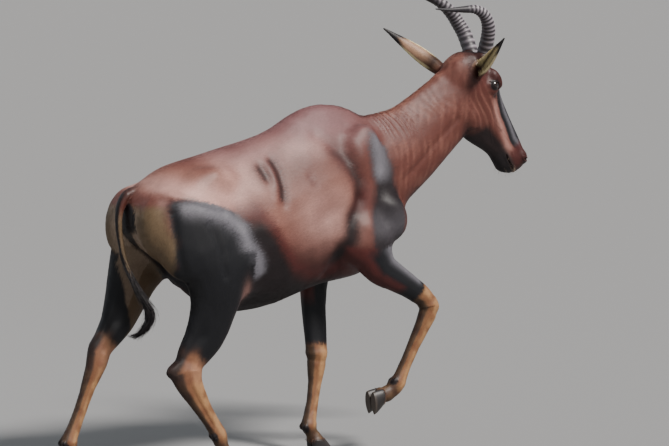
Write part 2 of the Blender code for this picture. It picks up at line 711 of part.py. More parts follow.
# ---- dewclaws: two blunt studs behind each fetlock, joined to the shin
DEWCLAW_RADII = (0.009, 0.0085, 0.012)  # out, across, down
DEWCLAW_SPREAD = 0.0135
DEWCLAWS = {  # ahead, left, up, turn of the foot in degrees
    "fore_left": (-0.030, 0.051, 0.092, 0),
    "fore_right": (0.262, -0.086, 0.254, 88),
    "hind_left": (-0.980, 0.100, 0.097, 0),
    "hind_right": (-0.502, -0.110, 0.114, 22),
}
for limb_name, (ahead, left, up, turn) in DEWCLAWS.items():
    for sideways in (-DEWCLAW_SPREAD, DEWCLAW_SPREAD):
        mesh = ball((ahead, left + sideways, up), DEWCLAW_RADII, tilt=-turn, fineness=1)
        stud = link("dewclaw", mesh, helpers)
        boolean(legs[limb_name], stud, "UNION")

# ---- round pieces shade smooth
for obj in model.objects:
    obj.data.shade_smooth()
    obj.data.set_sharp_from_angle(angle=SHARP_ANGLE)
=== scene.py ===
import math

import bmesh
import bpy
import numpy as np
from mathutils import Matrix, Vector
from mathutils.bvhtree import BVHTree


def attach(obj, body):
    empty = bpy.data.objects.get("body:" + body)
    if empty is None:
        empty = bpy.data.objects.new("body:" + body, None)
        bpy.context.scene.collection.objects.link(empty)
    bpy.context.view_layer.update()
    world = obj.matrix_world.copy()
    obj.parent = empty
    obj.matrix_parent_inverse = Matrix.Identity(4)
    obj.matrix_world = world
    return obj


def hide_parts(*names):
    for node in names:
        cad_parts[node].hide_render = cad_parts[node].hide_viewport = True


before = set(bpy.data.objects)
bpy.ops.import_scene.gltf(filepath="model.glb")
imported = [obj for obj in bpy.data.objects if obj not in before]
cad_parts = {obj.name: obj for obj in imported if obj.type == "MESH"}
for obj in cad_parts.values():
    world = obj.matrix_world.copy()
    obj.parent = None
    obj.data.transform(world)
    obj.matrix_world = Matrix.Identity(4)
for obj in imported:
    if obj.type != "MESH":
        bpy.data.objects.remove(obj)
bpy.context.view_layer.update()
chance = np.random.default_rng(11)

# ---- Skin. The hide of a topi antelope: one unbroken surface from lips to coronets,
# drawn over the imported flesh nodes, then worked with the folds, tendons and bones that
# show through it. It lies inside the nodes by the depth of the coat.
WITHERS_AHEAD = 0.045  # withers hump ahead of the middle of the animal's length
SPINE_LEFT = 0.028  # spine plane left of the middle of its width
HEAD_BASE = (0.620, 0.0, 1.330)  # middle of the skull: ahead of the withers, left, up
FACE_SLOPE = math.radians(58)
HEAD_ROLL = math.radians(-3)
COARSE_GRAIN = 0.0050  # voxel that closes the cuts between the nodes
FINE_GRAIN = 0.0023  # voxel of the worked skin
SKIN_TRIANGLES = 190000
EYE_AT = (0.072, 0.0563, 0.064)  # along the face from the skull, left of it, out of it
EYE_RADIUS = 0.0205

head_turn = np.array(Matrix.Rotation(HEAD_ROLL, 3, "Y") @ Matrix.Rotation(FACE_SLOPE, 3, "X"))


def at(ahead, left, up):
    """A place in the world from its place on the animal."""
    return Vector((left + SPINE_LEFT, -(ahead + WITHERS_AHEAD), up))


def on_body(points):
    """How far world points are ahead of the withers, left of the spine and above the ground."""
    return -points[:, 1] - WITHERS_AHEAD, points[:, 0] - SPINE_LEFT, points[:, 2]


def on_face(points):
    """How far world points are along the face, left of it and out of it."""
    local = (points - np.array(at(*HEAD_BASE))) @ head_turn
    return -local[:, 1], local[:, 0], local[:, 2]


def from_face(along, left, out):
    return at(*HEAD_BASE) + Vector(head_turn @ np.array((left, -along, out)))


def spline(rows, per):
    """Rows of numbers run through a Catmull-Rom curve, `per` steps to a gap."""
    rows = np.array(rows, float)
    padded = np.vstack([2 * rows[0] - rows[1], rows, 2 * rows[-1] - rows[-2]])
    out = []
    for i in range(len(rows) - 1):
        a, b, c, d = padded[i : i + 4]
        for t in np.arange(per) / per:
            square = (2 * a - 5 * b + 4 * c - d) * t**2
            cube = (3 * b - a - 3 * c + d) * t**3
            out.append(0.5 * (2 * b + (c - a) * t + square + cube))
    return np.array(out + [rows[-1]])


def link(name, mesh, *skins):
    obj = bpy.data.objects.new(name, mesh)
    bpy.context.scene.collection.objects.link(obj)
    for skin in skins:
        mesh.materials.append(skin)
    return obj


def settled(obj):
    """The object with its modifiers applied."""
    graph = bpy.context.evaluated_depsgraph_get()
    graph.update()
    mesh = bpy.data.meshes.new_from_object(obj.evaluated_get(graph))
    obj.modifiers.clear()
    obj.data = mesh
    return obj


def rings_mesh(name, rings):
    """A closed body through rings of equal point count, flat at both ends."""
    mesh = bpy.data.meshes.new(name)
    count = len(rings[0])
    points = [p for ring in rings for p in ring]
    faces = [list(range(count))[::-1], list(range(len(points) - count, len(points)))]
    for r in range(len(rings) - 1):
        for k in range(count):
            a, b = r * count + k, r * count + (k + 1) % count
            faces.append((a, b, b + count, a + count))
    mesh.from_pydata(points, [], faces)
    work = bmesh.new()
    work.from_mesh(mesh)
    bmesh.ops.recalc_face_normals(work, faces=work.faces)
    if work.calc_volume(signed=True) < 0:
        bmesh.ops.reverse_faces(work, faces=work.faces)
    work.to_mesh(mesh)
    work.free()
    return mesh


def tube(name, stations, around, per):
    """A round-sectioned body through stations of ahead, left, up, half width, half depth."""
    rows = spline(stations, per)
    centres = [at(*row[:3]) for row in rows]
    rings = []
    for i, row in enumerate(rows):
        run = (centres[min(i + 1, len(rows) - 1)] - centres[max(i - 1, 0)]).normalized()
        side = (Vector((1, 0, 0)) - run.x * run).normalized()
        depth = side.cross(run)
        turns = np.arange(around) * 2 * math.pi / around
        rings.append(
            [centres[i] + side * row[3] * math.cos(t) + depth * row[4] * math.sin(t) for t in turns]
        )
    return rings_mesh(name, rings)


def voxelled(obj, grain):
    cells = obj.modifiers.new("cells", "REMESH")
    cells.mode, cells.voxel_size = "VOXEL", grain
    return settled(obj)


def coordinates(mesh, kind="co"):
    out = np.empty(len(mesh.vertices) * 3, np.float32)
    if kind == "normal":
        mesh.vertex_normals.foreach_get("vector", out)
    else:
        mesh.vertices.foreach_get("co", out)
    return out.reshape(-1, 3).astype(float)


def smoothed(obj, strength, steps):
    """Smooths each vertex by its own share, given as a number from 0 to 1."""
    group = obj.vertex_groups.new(name="softness")
    for step in range(1, 11):
        chosen = np.nonzero(np.round(strength * 10) == step)[0]
        group.add(chosen.tolist(), step / 10, "REPLACE")
    ease = obj.modifiers.new("ease", "SMOOTH")
    ease.vertex_group, ease.factor, ease.iterations = group.name, 0.5, steps
    settled(obj)
    obj.vertex_groups.clear()
    return obj


def face_frame(centre, radii):
    """Placement of a unit shape on the head: radii along the face, left, out."""
    turn = Matrix(head_turn.tolist()).to_4x4()
    size = Matrix.Diagonal((radii[1], radii[0], radii[2], 1))
    return Matrix.Translation(from_face(*centre)) @ turn @ size


FILLED = [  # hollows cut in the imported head, closed here and worked again below: centre, radii
    ((0.365, 0.0, -0.004), (0.056, 0.029, 0.020)),  # slit of the mouth
    *[((0.408, s * 0.021, 0.062), (0.013, 0.007, 0.010)) for s in (1, -1)],  # nostrils
    *[((EYE_AT[0], s * EYE_AT[1], EYE_AT[2]), (0.0212,) * 3) for s in (1, -1)],  # eye sockets
]
flesh_nodes = [n for n in sorted(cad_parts) if n.split("_")[0] in ("trunk", "neck", "head", "leg")]
work = bmesh.new()
for name in flesh_nodes:
    work.from_mesh(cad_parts[name].data)
bmesh.ops.remove_doubles(work, verts=work.verts, dist=1e-5)
work.normal_update()
for v in work.verts:
    v.co += v.normal * 0.0009
for centre, radii in FILLED:
    bmesh.ops.create_icosphere(work, subdivisions=3, radius=1, matrix=face_frame(centre, radii))
flesh = bpy.data.meshes.new("flesh")
work.to_mesh(flesh)
work.free()
skin = voxelled(link("skin", flesh), COARSE_GRAIN)

ahead, left, up = on_body(coordinates(skin.data))
softness = np.clip((up - 0.50) / 0.15, 0.25, 1.0)
softness = np.where(ahead > 0.56, np.clip(1 - (ahead - 0.56) / 0.08, 0.20, 1.0), softness)
smoothed(skin, softness, 26)

# ears: cupped leaves, the left one laid back and the right one held out to the side
EAR_ROWS = (  # share of the length, half width, half angle of the cup, bow of the back, thickness
    (-0.10, 0.015, 100, 0.000, 0.0060),
    (0.00, 0.019, 98, 0.002, 0.0060),
    (0.10, 0.0225, 95, 0.004, 0.0056),
    (0.25, 0.027, 85, 0.008, 0.0052),
    (0.42, 0.027, 72, 0.010, 0.0048),
    (0.60, 0.021, 62, 0.008, 0.0046),
    (0.78, 0.0125, 55, 0.004, 0.0044),
    (0.90, 0.0062, 45, 0.001, 0.0042),
    (0.985, 0.0026, 40, 0.000, 0.0040),
)
EARS = {  # root, tip, way the hollow faces: ahead, left, up
    "left": ((0.587, 0.055, 1.344), (0.381, 0.172, 1.508), (0.10, 0.90, -0.10)),
    "right": ((0.657, -0.050, 1.334), (0.629, -0.252, 1.481), (-0.70, -0.20, 0.30)),
}


def ear_axes(side_name):
    root, tip, opening = EARS[side_name]
    start, end = at(*root), at(*tip)
    run = (end - start).normalized()
    facing = Vector((opening[1], -opening[0], opening[2]))
    facing = (facing - facing.dot(run) * run).normalized()
    return start, end, facing, run.cross(facing)


def along_ear(points, side_name):
    """Each place's share of the ear's length, and how it lies off the ear's middle line."""
    start, end, *_ = (np.array(v) for v in ear_axes(side_name))
    share = (points - start) @ (end - start) / ((end - start) @ (end - start))
    return share, points - start - share[:, None] * (end - start)


def ear_leaf(side_name):
    start, end, facing, side = ear_axes(side_name)
    rings = []
    for share, half_width, half_arc, bow, thick in spline(EAR_ROWS, 4):
        arc = math.radians(half_arc)
        bend = half_width / math.sin(min(arc, math.pi / 2))
        back = [(bend + thick / 2, turn) for turn in np.linspace(-arc, arc, 17)]
        hollow = [(bend - thick / 2, turn) for turn in np.linspace(arc, -arc, 17)]
        middle = start + (end - start) * share + facing * (bend - bow)
        rings.append(
            [middle - facing * r * math.cos(t) + side * r * math.sin(t) for r, t in back + hollow]
        )
    return rings_mesh("ear", rings)


# tail dock, and the pasterns that run down between the claws
DOCK = (  # ahead, left, up, half width, half depth
    (-0.690, 0.0, 0.958, 0.030, 0.026),
    (-0.735, 0.0, 0.968, 0.027, 0.023),
    (-0.772, 0.0, 0.960, 0.0225, 0.0190),
    (-0.798, 0.0, 0.928, 0.0165, 0.0150),
    (-0.809, 0.0, 0.870, 0.0125, 0.0115),
    (-0.802, -0.005, 0.790, 0.0100, 0.0100),
    (-0.791, -0.022, 0.720, 0.0080, 0.0085),
    (-0.780, -0.048, 0.670, 0.0060, 0.0070),
)
CLAW_HEIGHT = 0.046
FEET = {  # middle of the coronet: ahead, left, up; turn of the toe down in degrees
    "fore_left": ((0.023, 0.048, CLAW_HEIGHT), 0.0),
    "fore_right": ((0.214, -0.082, 0.199), 85.0),
    "hind_left": ((-0.920, 0.100, CLAW_HEIGHT), 0.0),
    "hind_right": ((-0.454, -0.110, 0.0600), 22.0),
}
extras = [ear_leaf("left"), ear_leaf("right"), tube("dock", DOCK, 16, 3)]
for foot, pitch in FEET.values():
    heel = bpy.data.meshes.new("heel")
    work = bmesh.new()
    turn = Matrix.Rotation(math.radians(pitch), 4, "X")
    size = Matrix.Diagonal((0.029, 0.031, 0.020, 1))
    place = Matrix.Translation(at(*foot)) @ turn @ Matrix.Translation((0, 0.004, -0.003)) @ size
    bmesh.ops.create_icosphere(work, subdivisions=4, radius=1, matrix=place)
    work.to_mesh(heel)
    work.free()
    extras.append(heel)
work = bmesh.new()
work.from_mesh(skin.data)
for mesh in extras:
    work.from_mesh(mesh)
work.to_mesh(skin.data)
work.free()
voxelled(skin, FINE_GRAIN)
ahead, left, up = on_body(coordinates(skin.data))
smoothed(skin, np.where(ahead > 0.56, 0.4, 0.8), 8)

# the eyes, nose and lips get a mesh of half the grain
places = coordinates(skin.data)
along, left, out = on_face(places)
near_eye = np.linalg.norm(np.column_stack([along, abs(left), out]) - np.array(EYE_AT), axis=1) < 0.040
finer = near_eye | (along > 0.33)
work = bmesh.new()
work.from_mesh(skin.data)
work.verts.ensure_lookup_table()
edges = [e for e in work.edges if finer[e.verts[0].index] and finer[e.verts[1].index]]
bmesh.ops.subdivide_edges(work, edges=edges, cuts=1, use_grid_fill=True)
work.to_mesh(skin.data)
work.free()


def ease(value, low, high):
    """0 below low, 1 above high and a smooth rise between."""
    t = np.clip((value - low) / (high - low), 0, 1)
    return t * t * (3 - 2 * t)


def hump(value, middle, width):
    return np.exp(-(((value - middle) / width) ** 2))


def swelling(coords, centre, radii):
    """A soft round bump, 1 at its centre."""
    return np.exp(-sum(((c - m) / r) ** 2 for c, m, r in zip(coords, centre, radii)))


def crease(across, up, route, width):
    """1 along a line through the route's points, falling away over its width."""
    nearest = np.full(across.shape, 1e9)
    for (a, b), (c, d) in zip(route[:-1], route[1:]):
        run, rise = c - a, d - b
        share = np.clip(((across - a) * run + (up - b) * rise) / (run**2 + rise**2), 0, 1)
        nearest = np.minimum(nearest, np.hypot(across - a - share * run, up - b - share * rise))
    return np.exp(-((nearest / width) ** 2))


# level is the height that a place on a leg would have if the leg hung straight
LEGS = {  # level, ahead, left, up, half depth
    "fore_left": (
        (0.83, 0.085, 0.112, 0.830, 0.105), (0.72, 0.060, 0.116, 0.720, 0.090),
        (0.63, 0.050, 0.110, 0.630, 0.065), (0.54, 0.043, 0.102, 0.540, 0.051),
        (0.45, 0.041, 0.089, 0.450, 0.047), (0.345, 0.042, 0.078, 0.345, 0.0405),
        (0.245, 0.028, 0.068, 0.245, 0.0290), (0.175, 0.013, 0.060, 0.175, 0.0260),
        (0.098, -0.006, 0.052, 0.098, 0.0300), (0.046, 0.017, 0.048, 0.046, 0.0290),
        (0.0, 0.030, 0.048, 0.0, 0.0290),
    ),
    "fore_right": (
        (0.83, 0.150, -0.115, 0.830, 0.110), (0.72, 0.140, -0.122, 0.735, 0.085),
        (0.65, 0.185, -0.120, 0.668, 0.068), (0.59, 0.250, -0.113, 0.632, 0.057),
        (0.50, 0.320, -0.107, 0.592, 0.047), (0.42, 0.375, -0.102, 0.557, 0.041),
        (0.345, 0.412, -0.100, 0.520, 0.040), (0.28, 0.381, -0.097, 0.445, 0.0315),
        (0.22, 0.350, -0.094, 0.385, 0.0280), (0.165, 0.318, -0.091, 0.320, 0.0260),
        (0.098, 0.281, -0.087, 0.243, 0.0305), (0.046, 0.215, -0.082, 0.202, 0.0295),
        (0.0, 0.160, -0.082, 0.198, 0.0290),
    ),
    "hind_left": (
        (0.86, -0.620, 0.105, 0.860, 0.150), (0.75, -0.645, 0.120, 0.750, 0.132),
        (0.665, -0.686, 0.120, 0.665, 0.106), (0.585, -0.722, 0.114, 0.585, 0.085),
        (0.508, -0.758, 0.107, 0.508, 0.066), (0.41, -0.838, 0.101, 0.410, 0.044),
        (0.345, -0.852, 0.100, 0.345, 0.037), (0.29, -0.876, 0.100, 0.290, 0.0290),
        (0.215, -0.905, 0.100, 0.215, 0.0255), (0.104, -0.954, 0.100, 0.104, 0.0305),
        (0.046, -0.928, 0.100, 0.046, 0.0290), (0.0, -0.910, 0.100, 0.0, 0.0280),
    ),
    "hind_right": (
        (0.86, -0.600, -0.115, 0.880, 0.160), (0.80, -0.555, -0.135, 0.780, 0.165),
        (0.73, -0.512, -0.142, 0.700, 0.122), (0.66, -0.500, -0.138, 0.620, 0.106),
        (0.585, -0.512, -0.128, 0.540, 0.088), (0.51, -0.536, -0.118, 0.465, 0.078),
        (0.41, -0.606, -0.107, 0.355, 0.060), (0.345, -0.591, -0.110, 0.300, 0.052),
        (0.28, -0.561, -0.110, 0.250, 0.0415), (0.215, -0.530, -0.110, 0.200, 0.0335),
        (0.104, -0.476, -0.110, 0.115, 0.0310), (0.046, -0.454, -0.110, 0.046, 0.0290),
        (0.0, -0.440, -0.110, 0.0, 0.0290),
    ),
}


def on_leg(points, rows):
    """Level, offset ahead in half depths, offset outward, and the run down the leg."""
    ahead, left, up = on_body(points)
    best = np.full(ahead.shape, 1e9)
    level, offset, outward = np.zeros_like(best), np.zeros_like(best), np.zeros_like(best)
    runs = np.zeros((len(best), 2))
    for upper, lower in zip(np.array(rows[:-1]), np.array(rows[1:])):
        run = lower[[1, 3]] - upper[[1, 3]]
        size = np.linalg.norm(run)
        share = np.clip(((ahead - upper[1]) * run[0] + (up - upper[3]) * run[1]) / size**2, 0, 1)
        middle = upper + (lower - upper) * share[:, None]
        miss = np.hypot(ahead - middle[:, 1], up - middle[:, 3])
        closer = miss < best
        best = np.where(closer, miss, best)
        forward = ((ahead - middle[:, 1]) * -run[1] + (up - middle[:, 3]) * run[0]) / size
        level = np.where(closer, middle[:, 0], level)
        offset = np.where(closer, forward / middle[:, 4], offset)
        outward = np.where(closer, (left - middle[:, 2]) * np.sign(rows[0][2]), outward)
        runs = np.where(closer[:, None], run / size, runs)
    return level, offset, outward, runs


def leg_of(points):
    """The name of the leg that each place is nearest to."""
    ahead, left, _ = on_body(points)
    fore = ahead > -0.25
    return np.where(
        fore, np.where(left > 0, "fore_left", "fore_right"), np.where(left > 0, "hind_left", "hind_right")
    )


def gather_legs(points):
    """on_leg for every place, each by its own leg."""
    names = leg_of(points)
    parts = [
        np.zeros(len(points)), np.zeros(len(points)), np.zeros(len(points)), np.zeros((len(points), 2))
    ]
    for name, rows in LEGS.items():
        mine = np.nonzero(names == name)[0]
        for part, found in zip(parts, on_leg(points[mine], rows)):
            part[mine] = found
    return names, *parts


def left_thigh_back(left, up):
    """How far ahead the left thigh lies of the right one at each height: it is the hindmost leg."""
    back = np.interp(up, (0.64, 0.70, 0.78, 0.86, 0.93), (-0.19, -0.16, -0.085, -0.03, -0.01))
    return np.where(left > 0, back, 0.0)


places, outward_way = coordinates(skin.data), coordinates(skin.data, "normal")
ahead, left, up = on_body(places)
along, face_left, out = on_face(places)
wide = abs(face_left)
names, level, offset, outward, runs = gather_legs(places)
on_shin = ease(0.60 - level, 0, 0.06) * ease(0.80 - up, 0, 0.03)
is_head = ease(ahead, 0.60, 0.64)
is_ear = np.zeros(len(places))
for side_name in EARS:
    start, end, *_ = ear_axes(side_name)
    share = (places - np.array(start)) @ np.array(end - start) / (end - start).length ** 2
    miss = np.linalg.norm(places - np.array(start) - share[:, None] * np.array(end - start), axis=1)
    is_ear = np.maximum(is_ear, ease(share, 0.04, 0.16) * (miss < 0.045))
is_dock = ease(-0.775 - ahead, 0, 0.01) * (abs(left) < 0.05) * (up > 0.66)

# the hide lies under the coat by the coat's depth
push = -0.0022 * (1 - is_head) * (1 - on_shin) - 0.0012 * on_shin - 0.0008 * is_head
push *= (1 - is_ear) * (1 - is_dock)

# trunk: shoulder blade, the hollow behind it, flank wrinkles, ribs, hip bones and thigh
flank = ease(abs(left), 0.05, 0.09) * (ahead < 0.42)
body = flank * (up > 0.55)
push -= 0.0042 * body * crease(
    ahead, up, ((-0.060, 1.150), (0.037, 1.064), (0.079, 0.986), (0.080, 0.920)), 0.026
)
push -= 0.0070 * body * crease(
    ahead, up, ((0.080, 0.920), (0.050, 0.860), (0.040, 0.785), (0.004, 0.711), (-0.02, 0.65)), 0.024
)
push += 0.0035 * body * crease(
    ahead, up, ((0.060, 1.140), (0.125, 1.030), (0.140, 0.930), (0.110, 0.820)), 0.026
)
push -= 0.0040 * body * crease(ahead, up, ((0.180, 1.160), (0.262, 1.030), (0.300, 0.900)), 0.016)
push -= 0.0046 * body * crease(ahead, up, ((-0.306, 1.046), (-0.292, 1.004)), 0.018)
push -= 0.0050 * body * crease(
    ahead, up, ((-0.256, 1.068), (-0.242, 1.030), (-0.241, 0.980), (-0.248, 0.918)), 0.019
)
push += 0.0026 * body * crease(ahead, up, ((-0.272, 1.040), (-0.268, 0.985), (-0.280, 0.935)), 0.018)
push -= 0.0020 * body * crease(ahead, up, ((-0.125, 1.005), (-0.112, 0.985)), 0.020)
push -= 0.0028 * body * crease(ahead, up, ((-0.530, 1.070), (-0.480, 1.050)), 0.020)
ribs = np.sin((ahead + 0.35 * up) / 0.034 * math.pi) * ease(ahead, -0.42, -0.30) * ease(-ahead, -0.02, 0.05)
push += 0.0007 * body * ribs * hump(up, 0.82, 0.14)
push -= 0.0090 * swelling((ahead, abs(left), up), (-0.700, 0.062, 1.005), (0.040, 0.035, 0.040))
push += 0.0060 * swelling((ahead, abs(left), up), (-0.500, 0.125, 1.030), (0.030, 0.035, 0.026))
push += 0.0040 * body * crease(ahead, up, ((-0.700, 0.965), (-0.610, 0.945), (-0.520, 0.915)), 0.013)
push -= 0.0110 * swelling((ahead, left, up), (0.205, -0.155, 0.835), (0.060, 0.050, 0.045))
push += 0.0050 * swelling((ahead, left, up), (0.200, -0.135, 0.905), (0.050, 0.050, 0.035))
thigh = ahead - left_thigh_back(left, up)
push -= 0.0050 * body * crease(thigh, up, ((-0.690, 0.900), (-0.682, 0.800), (-0.655, 0.700)), 0.014)
push -= 0.0040 * body * crease(thigh, up, ((-0.560, 0.860), (-0.520, 0.760), (-0.500, 0.680)), 0.016)
push += 0.0040 * body * crease(thigh, up, ((-0.480, 0.880), (-0.420, 0.800), (-0.400, 0.720)), 0.020)
push -= 0.0030 * ease(0.02 - abs(left), 0, 0.02) * ease(up, 0.95, 1.0) * hump(ahead, -0.42, 0.16)

# neck: short folds where it meets the hump, long shallow ones down its sides
NECK_RISE = math.radians(36)
reach = (ahead - 0.2) * math.cos(NECK_RISE) + (up - 1.0) * math.sin(NECK_RISE)
sway = 0.006 * np.sin(up * 41) + 0.005 * np.sin(ahead * 57 + left * 30)
is_neck = ease(ahead, 0.17, 0.24) * (1 - ease(ahead, 0.56, 0.64)) * ease(up, 0.95, 1.0)
nape_folds = np.sin((reach + sway) * 2 * math.pi / 0.016) * hump(reach, 0.18, 0.06) * ease(up, 1.10, 1.17)
side_folds = (
    np.sin((reach * 0.9 + sway * 1.6) * 2 * math.pi / 0.027) * hump(reach, 0.36, 0.16)
    * ease(up, 1.05, 1.15)
)
push += is_neck * (0.0015 * nape_folds + 0.00025 * side_folds)
push -= (
    0.004 * is_neck * crease(ahead, up, ((0.300, 0.960), (0.420, 1.060), (0.560, 1.180)), 0.014)
    * (abs(left) > 0.03)
)

# legs: the groove before the tendon, hollows of the hock, knee and fetlock bones
is_hind = np.char.startswith(names, "hind")
cannon = np.where(
    is_hind,
    ease(level, 0.13, 0.17) * ease(0.37 - level, 0, 0.05),
    ease(level, 0.12, 0.15) * ease(0.31 - level, 0, 0.04),
)
push -= 0.0026 * cannon * on_shin * hump(offset, -0.22, 0.22)
push += 0.0010 * cannon * on_shin * hump(offset, -0.70, 0.2)
push -= np.where(is_hind, 0.0075, 0.0) * hump(level, 0.500, 0.055) * hump(offset, -0.38, 0.26) * (up < 0.62)
push += np.where(is_hind, 0.0030, 0.0) * hump(level, 0.405, 0.016) * hump(offset, 0.35, 0.4) * (up < 0.5)
push += np.where(is_hind, 0.0, 0.0030) * hump(level, 0.352, 0.014) * (up < 0.56)
push -= np.where(is_hind, 0.0, 0.0016) * hump(level, 0.325, 0.008) * (up < 0.56)
push += 0.0022 * on_shin * hump(level, 0.100, 0.012) - 0.0018 * on_shin * hump(level, 0.072, 0.010)
push -= (
    np.where(is_hind, 0.0, 0.0030) * hump(level, 0.60, 0.09)
    * crease(offset, outward, ((0.1, 0.05), (0.1, -0.05)), 0.25)
)

# face: cheek bone, jaw, temple, veins, nose bone and chin
face = is_head * (1 - is_ear)
push += (
    0.0030 * face * crease(along, out, ((0.105, 0.030), (0.165, 0.022), (0.235, 0.020)), 0.008)
    * (wide > 0.02)
)
push -= (
    0.0030 * face * crease(along, out, ((0.150, 0.058), (0.230, 0.052), (0.320, 0.050)), 0.011)
    * (wide > 0.02)
)
push -= 0.0045 * swelling((along, wide, out), (0.245, 0.040, -0.028), (0.040, 0.030, 0.020))
push += 0.0025 * swelling((along, wide, out), (0.120, 0.055, -0.060), (0.045, 0.030, 0.035))
push -= 0.0030 * swelling((along, wide, out), (0.018, 0.062, 0.052), (0.020, 0.020, 0.016))
push += 0.0030 * swelling((along, wide, out), (0.035, 0.055, 0.020), (0.030, 0.025, 0.012))
push -= 0.0022 * swelling((along, wide, out), (0.118, 0.056, 0.052), (0.011, 0.014, 0.007))
push += 0.0070 * face * hump(wide, 0, 0.022) * hump(along, 0.062, 0.040) * (out > 0.05)
push -= 0.0045 * swelling((along, wide, out), (0.062, 0.050, 0.112), (0.030, 0.020, 0.020))
push += (
    0.0008 * face
    * crease(along, out, ((0.125, 0.040), (0.170, 0.000), (0.215, -0.020), (0.270, -0.030)), 0.0028)
    * (wide > 0.02)
)
push += (
    0.0006 * face * crease(along, out, ((0.170, 0.000), (0.240, 0.020), (0.330, 0.040)), 0.0024)
    * (wide > 0.02)
)

# lips: the slit runs round the muzzle, the upper lip hangs a little over the lower
MOUTH_CORNER = 0.338


def lips_meet(along):
    """How far out of the face the lips meet, at each place along it."""
    return -0.002 - 0.05 * (0.425 - along) + 2.2 * np.clip(0.360 - along, 0, None) ** 1.6


lip_line = lips_meet(along)
slit_reach = ease(along, MOUTH_CORNER - 0.006, MOUTH_CORNER + 0.006) * face
push -= 0.0052 * slit_reach * np.exp(-np.abs((out - lip_line) / 0.0020) ** 1.6)
push += 0.0016 * slit_reach * hump(out, lip_line + 0.0065, 0.0042)
push += 0.0012 * slit_reach * hump(out, lip_line - 0.0060, 0.0040)
push -= 0.0016 * face * hump(face_left, 0, 0.0016) * ease(along, 0.405, 0.415) * ease(out, 0.008, 0.018)
push += 0.0018 * swelling((along, wide, out), (0.385, 0.010, -0.040), (0.022, 0.020, 0.014))

# nostrils: comma slits with a rolled wing
NOSTRIL = (0.4000, 0.0255, 0.0620)
slant = (along - NOSTRIL[0]) * 0.80 + (out - NOSTRIL[2]) * 0.60
across = -(along - NOSTRIL[0]) * 0.60 + (out - NOSTRIL[2]) * 0.80 - 10 * slant**2
ring = np.sqrt((slant / 0.0125) ** 2 + (across / 0.0052) ** 2 + ((wide - NOSTRIL[1]) / 0.018) ** 2)
push -= 0.0105 * face * (1 - ease(ring, 0.45, 1.10))
push += 0.0020 * face * hump(ring, 1.55, 0.45)

places += outward_way * push[:, None]

# eyelids: the skin is drawn onto the ball and opened in an almond
LID_OPEN_LONG, LID_OPEN_HIGH = math.radians(54), math.radians(31)
LID_THICK = 0.0020
lids = {}
for side in (1, -1):
    centre = np.array(from_face(EYE_AT[0], side * EYE_AT[1], EYE_AT[2]))
    gaze = head_turn @ np.array((side * 0.93, -0.10, 0.34))
    gaze /= np.linalg.norm(gaze)
    corner = head_turn @ np.array((0, -0.87, 0.50))
    corner -= corner @ gaze * gaze
    corner /= np.linalg.norm(corner)
    brow = -np.cross(gaze, corner) * side
    lids[side] = (centre, gaze, corner, brow)
    away = places - centre
    reach = np.linalg.norm(away, axis=1)
    near = np.nonzero(reach < 0.045)[0]
    way = away[near] / reach[near][:, None]
    depth = way @ gaze
    turn_long = np.arctan2(way @ corner, depth) / LID_OPEN_LONG
    turn_high = np.arctan2(way @ brow, depth) / LID_OPEN_HIGH
    turn_high = np.where(turn_high > 0, turn_high, turn_high * 1.12)
    almond = (np.abs(turn_long) ** 1.5 + np.abs(turn_high) ** 1.5) ** (1 / 1.5)
    almond = np.where(depth > -0.2, almond, 9)
    rim = EYE_RADIUS + LID_THICK * ease(almond, 0.90, 1.02) - 0.0055 * (1 - ease(almond, 0.86, 0.98))
    rim -= (
        0.0016 * hump(almond, 1.50, 0.14) * (turn_high > 0)
        + 0.0009 * hump(almond, 1.42, 0.12) * (turn_high < 0)
    )
    hold = 1 - ease(almond, 1.25, 2.0)
    placed = reach[near] * (1 - hold) + rim * hold
    placed = np.where((almond > 1.02) & (depth > -0.1), np.maximum(placed, EYE_RADIUS + 0.0016), placed)
    places[near] = centre + way * placed[:, None]
skin.data.vertices.foreach_set("co", places.astype(np.float32).ravel())
skin.data.update()

thin = skin.modifiers.new("thin", "DECIMATE")
thin.ratio = SKIN_TRIANGLES / (2 * len(skin.data.polygons))
thin.use_collapse_triangulate = True
settled(skin)
skin.data.shade_smooth()


# The coat's colours, worked out from where a place lies on the animal, with painted shade and painted
# highlights among them
def colour(hex_code):
    """Linear RGBA of an sRGB hex colour."""
    channels = [int(hex_code[i : i + 2], 16) / 255 for i in (0, 2, 4)]
    return [c / 12.92 if c <= 0.04045 else ((c + 0.055) / 1.055) ** 2.4 for c in channels] + [1.0]


# the pale rose and the lavender are painted highlight colours, the coat's sheen where light catches it
MAHOGANY, CHESTNUT, SHEEN_LAVENDER = colour("552E27"), colour("84594D"), colour("765558")
SHEEN_ROSE = colour("BD958C")
LIVER, KHAKI, CREAM = colour("28110F"), colour("5C4B37"), colour("958271")
BLUE_BLACK, SLATE = colour("0B0C11"), colour("6E6C73")
FAWN, GINGER, SOOT = colour("96704C"), colour("66402A"), colour("110C0F")
OXBLOOD, PALE_PINK = colour("451A18"), colour("A87C72")
EAR_STRAW, EAR_FRINGE, EAR_TAN = colour("B3A67C"), colour("E2D3A4"), colour("9C7A62")
HAUNCH = (  # up, rear edge and front edge of the dark patch on the thigh, ahead of the withers
    (0.600, -0.760, -0.330), (0.640, -0.700, -0.380), (0.658, -0.682, -0.352), (0.690, -0.682, -0.318),
    (0.725, -0.682, -0.316), (0.763, -0.682, -0.345), (0.800, -0.683, -0.368), (0.850, -0.688, -0.388),
    (0.900, -0.694, -0.435), (0.928, -0.692, -0.515), (0.946, -0.680, -0.600), (0.968, -0.645, -0.645),
)
SHOULDER = (  # the same for the patch on the shoulder
    (0.700, 0.125, 0.300), (0.806, 0.112, 0.290), (0.860, 0.122, 0.290),
    (0.910, 0.138, 0.290), (0.980, 0.150, 0.276), (1.040, 0.138, 0.266),
    (1.090, 0.130, 0.250), (1.130, 0.130, 0.200), (1.170, 0.140, 0.150),
)
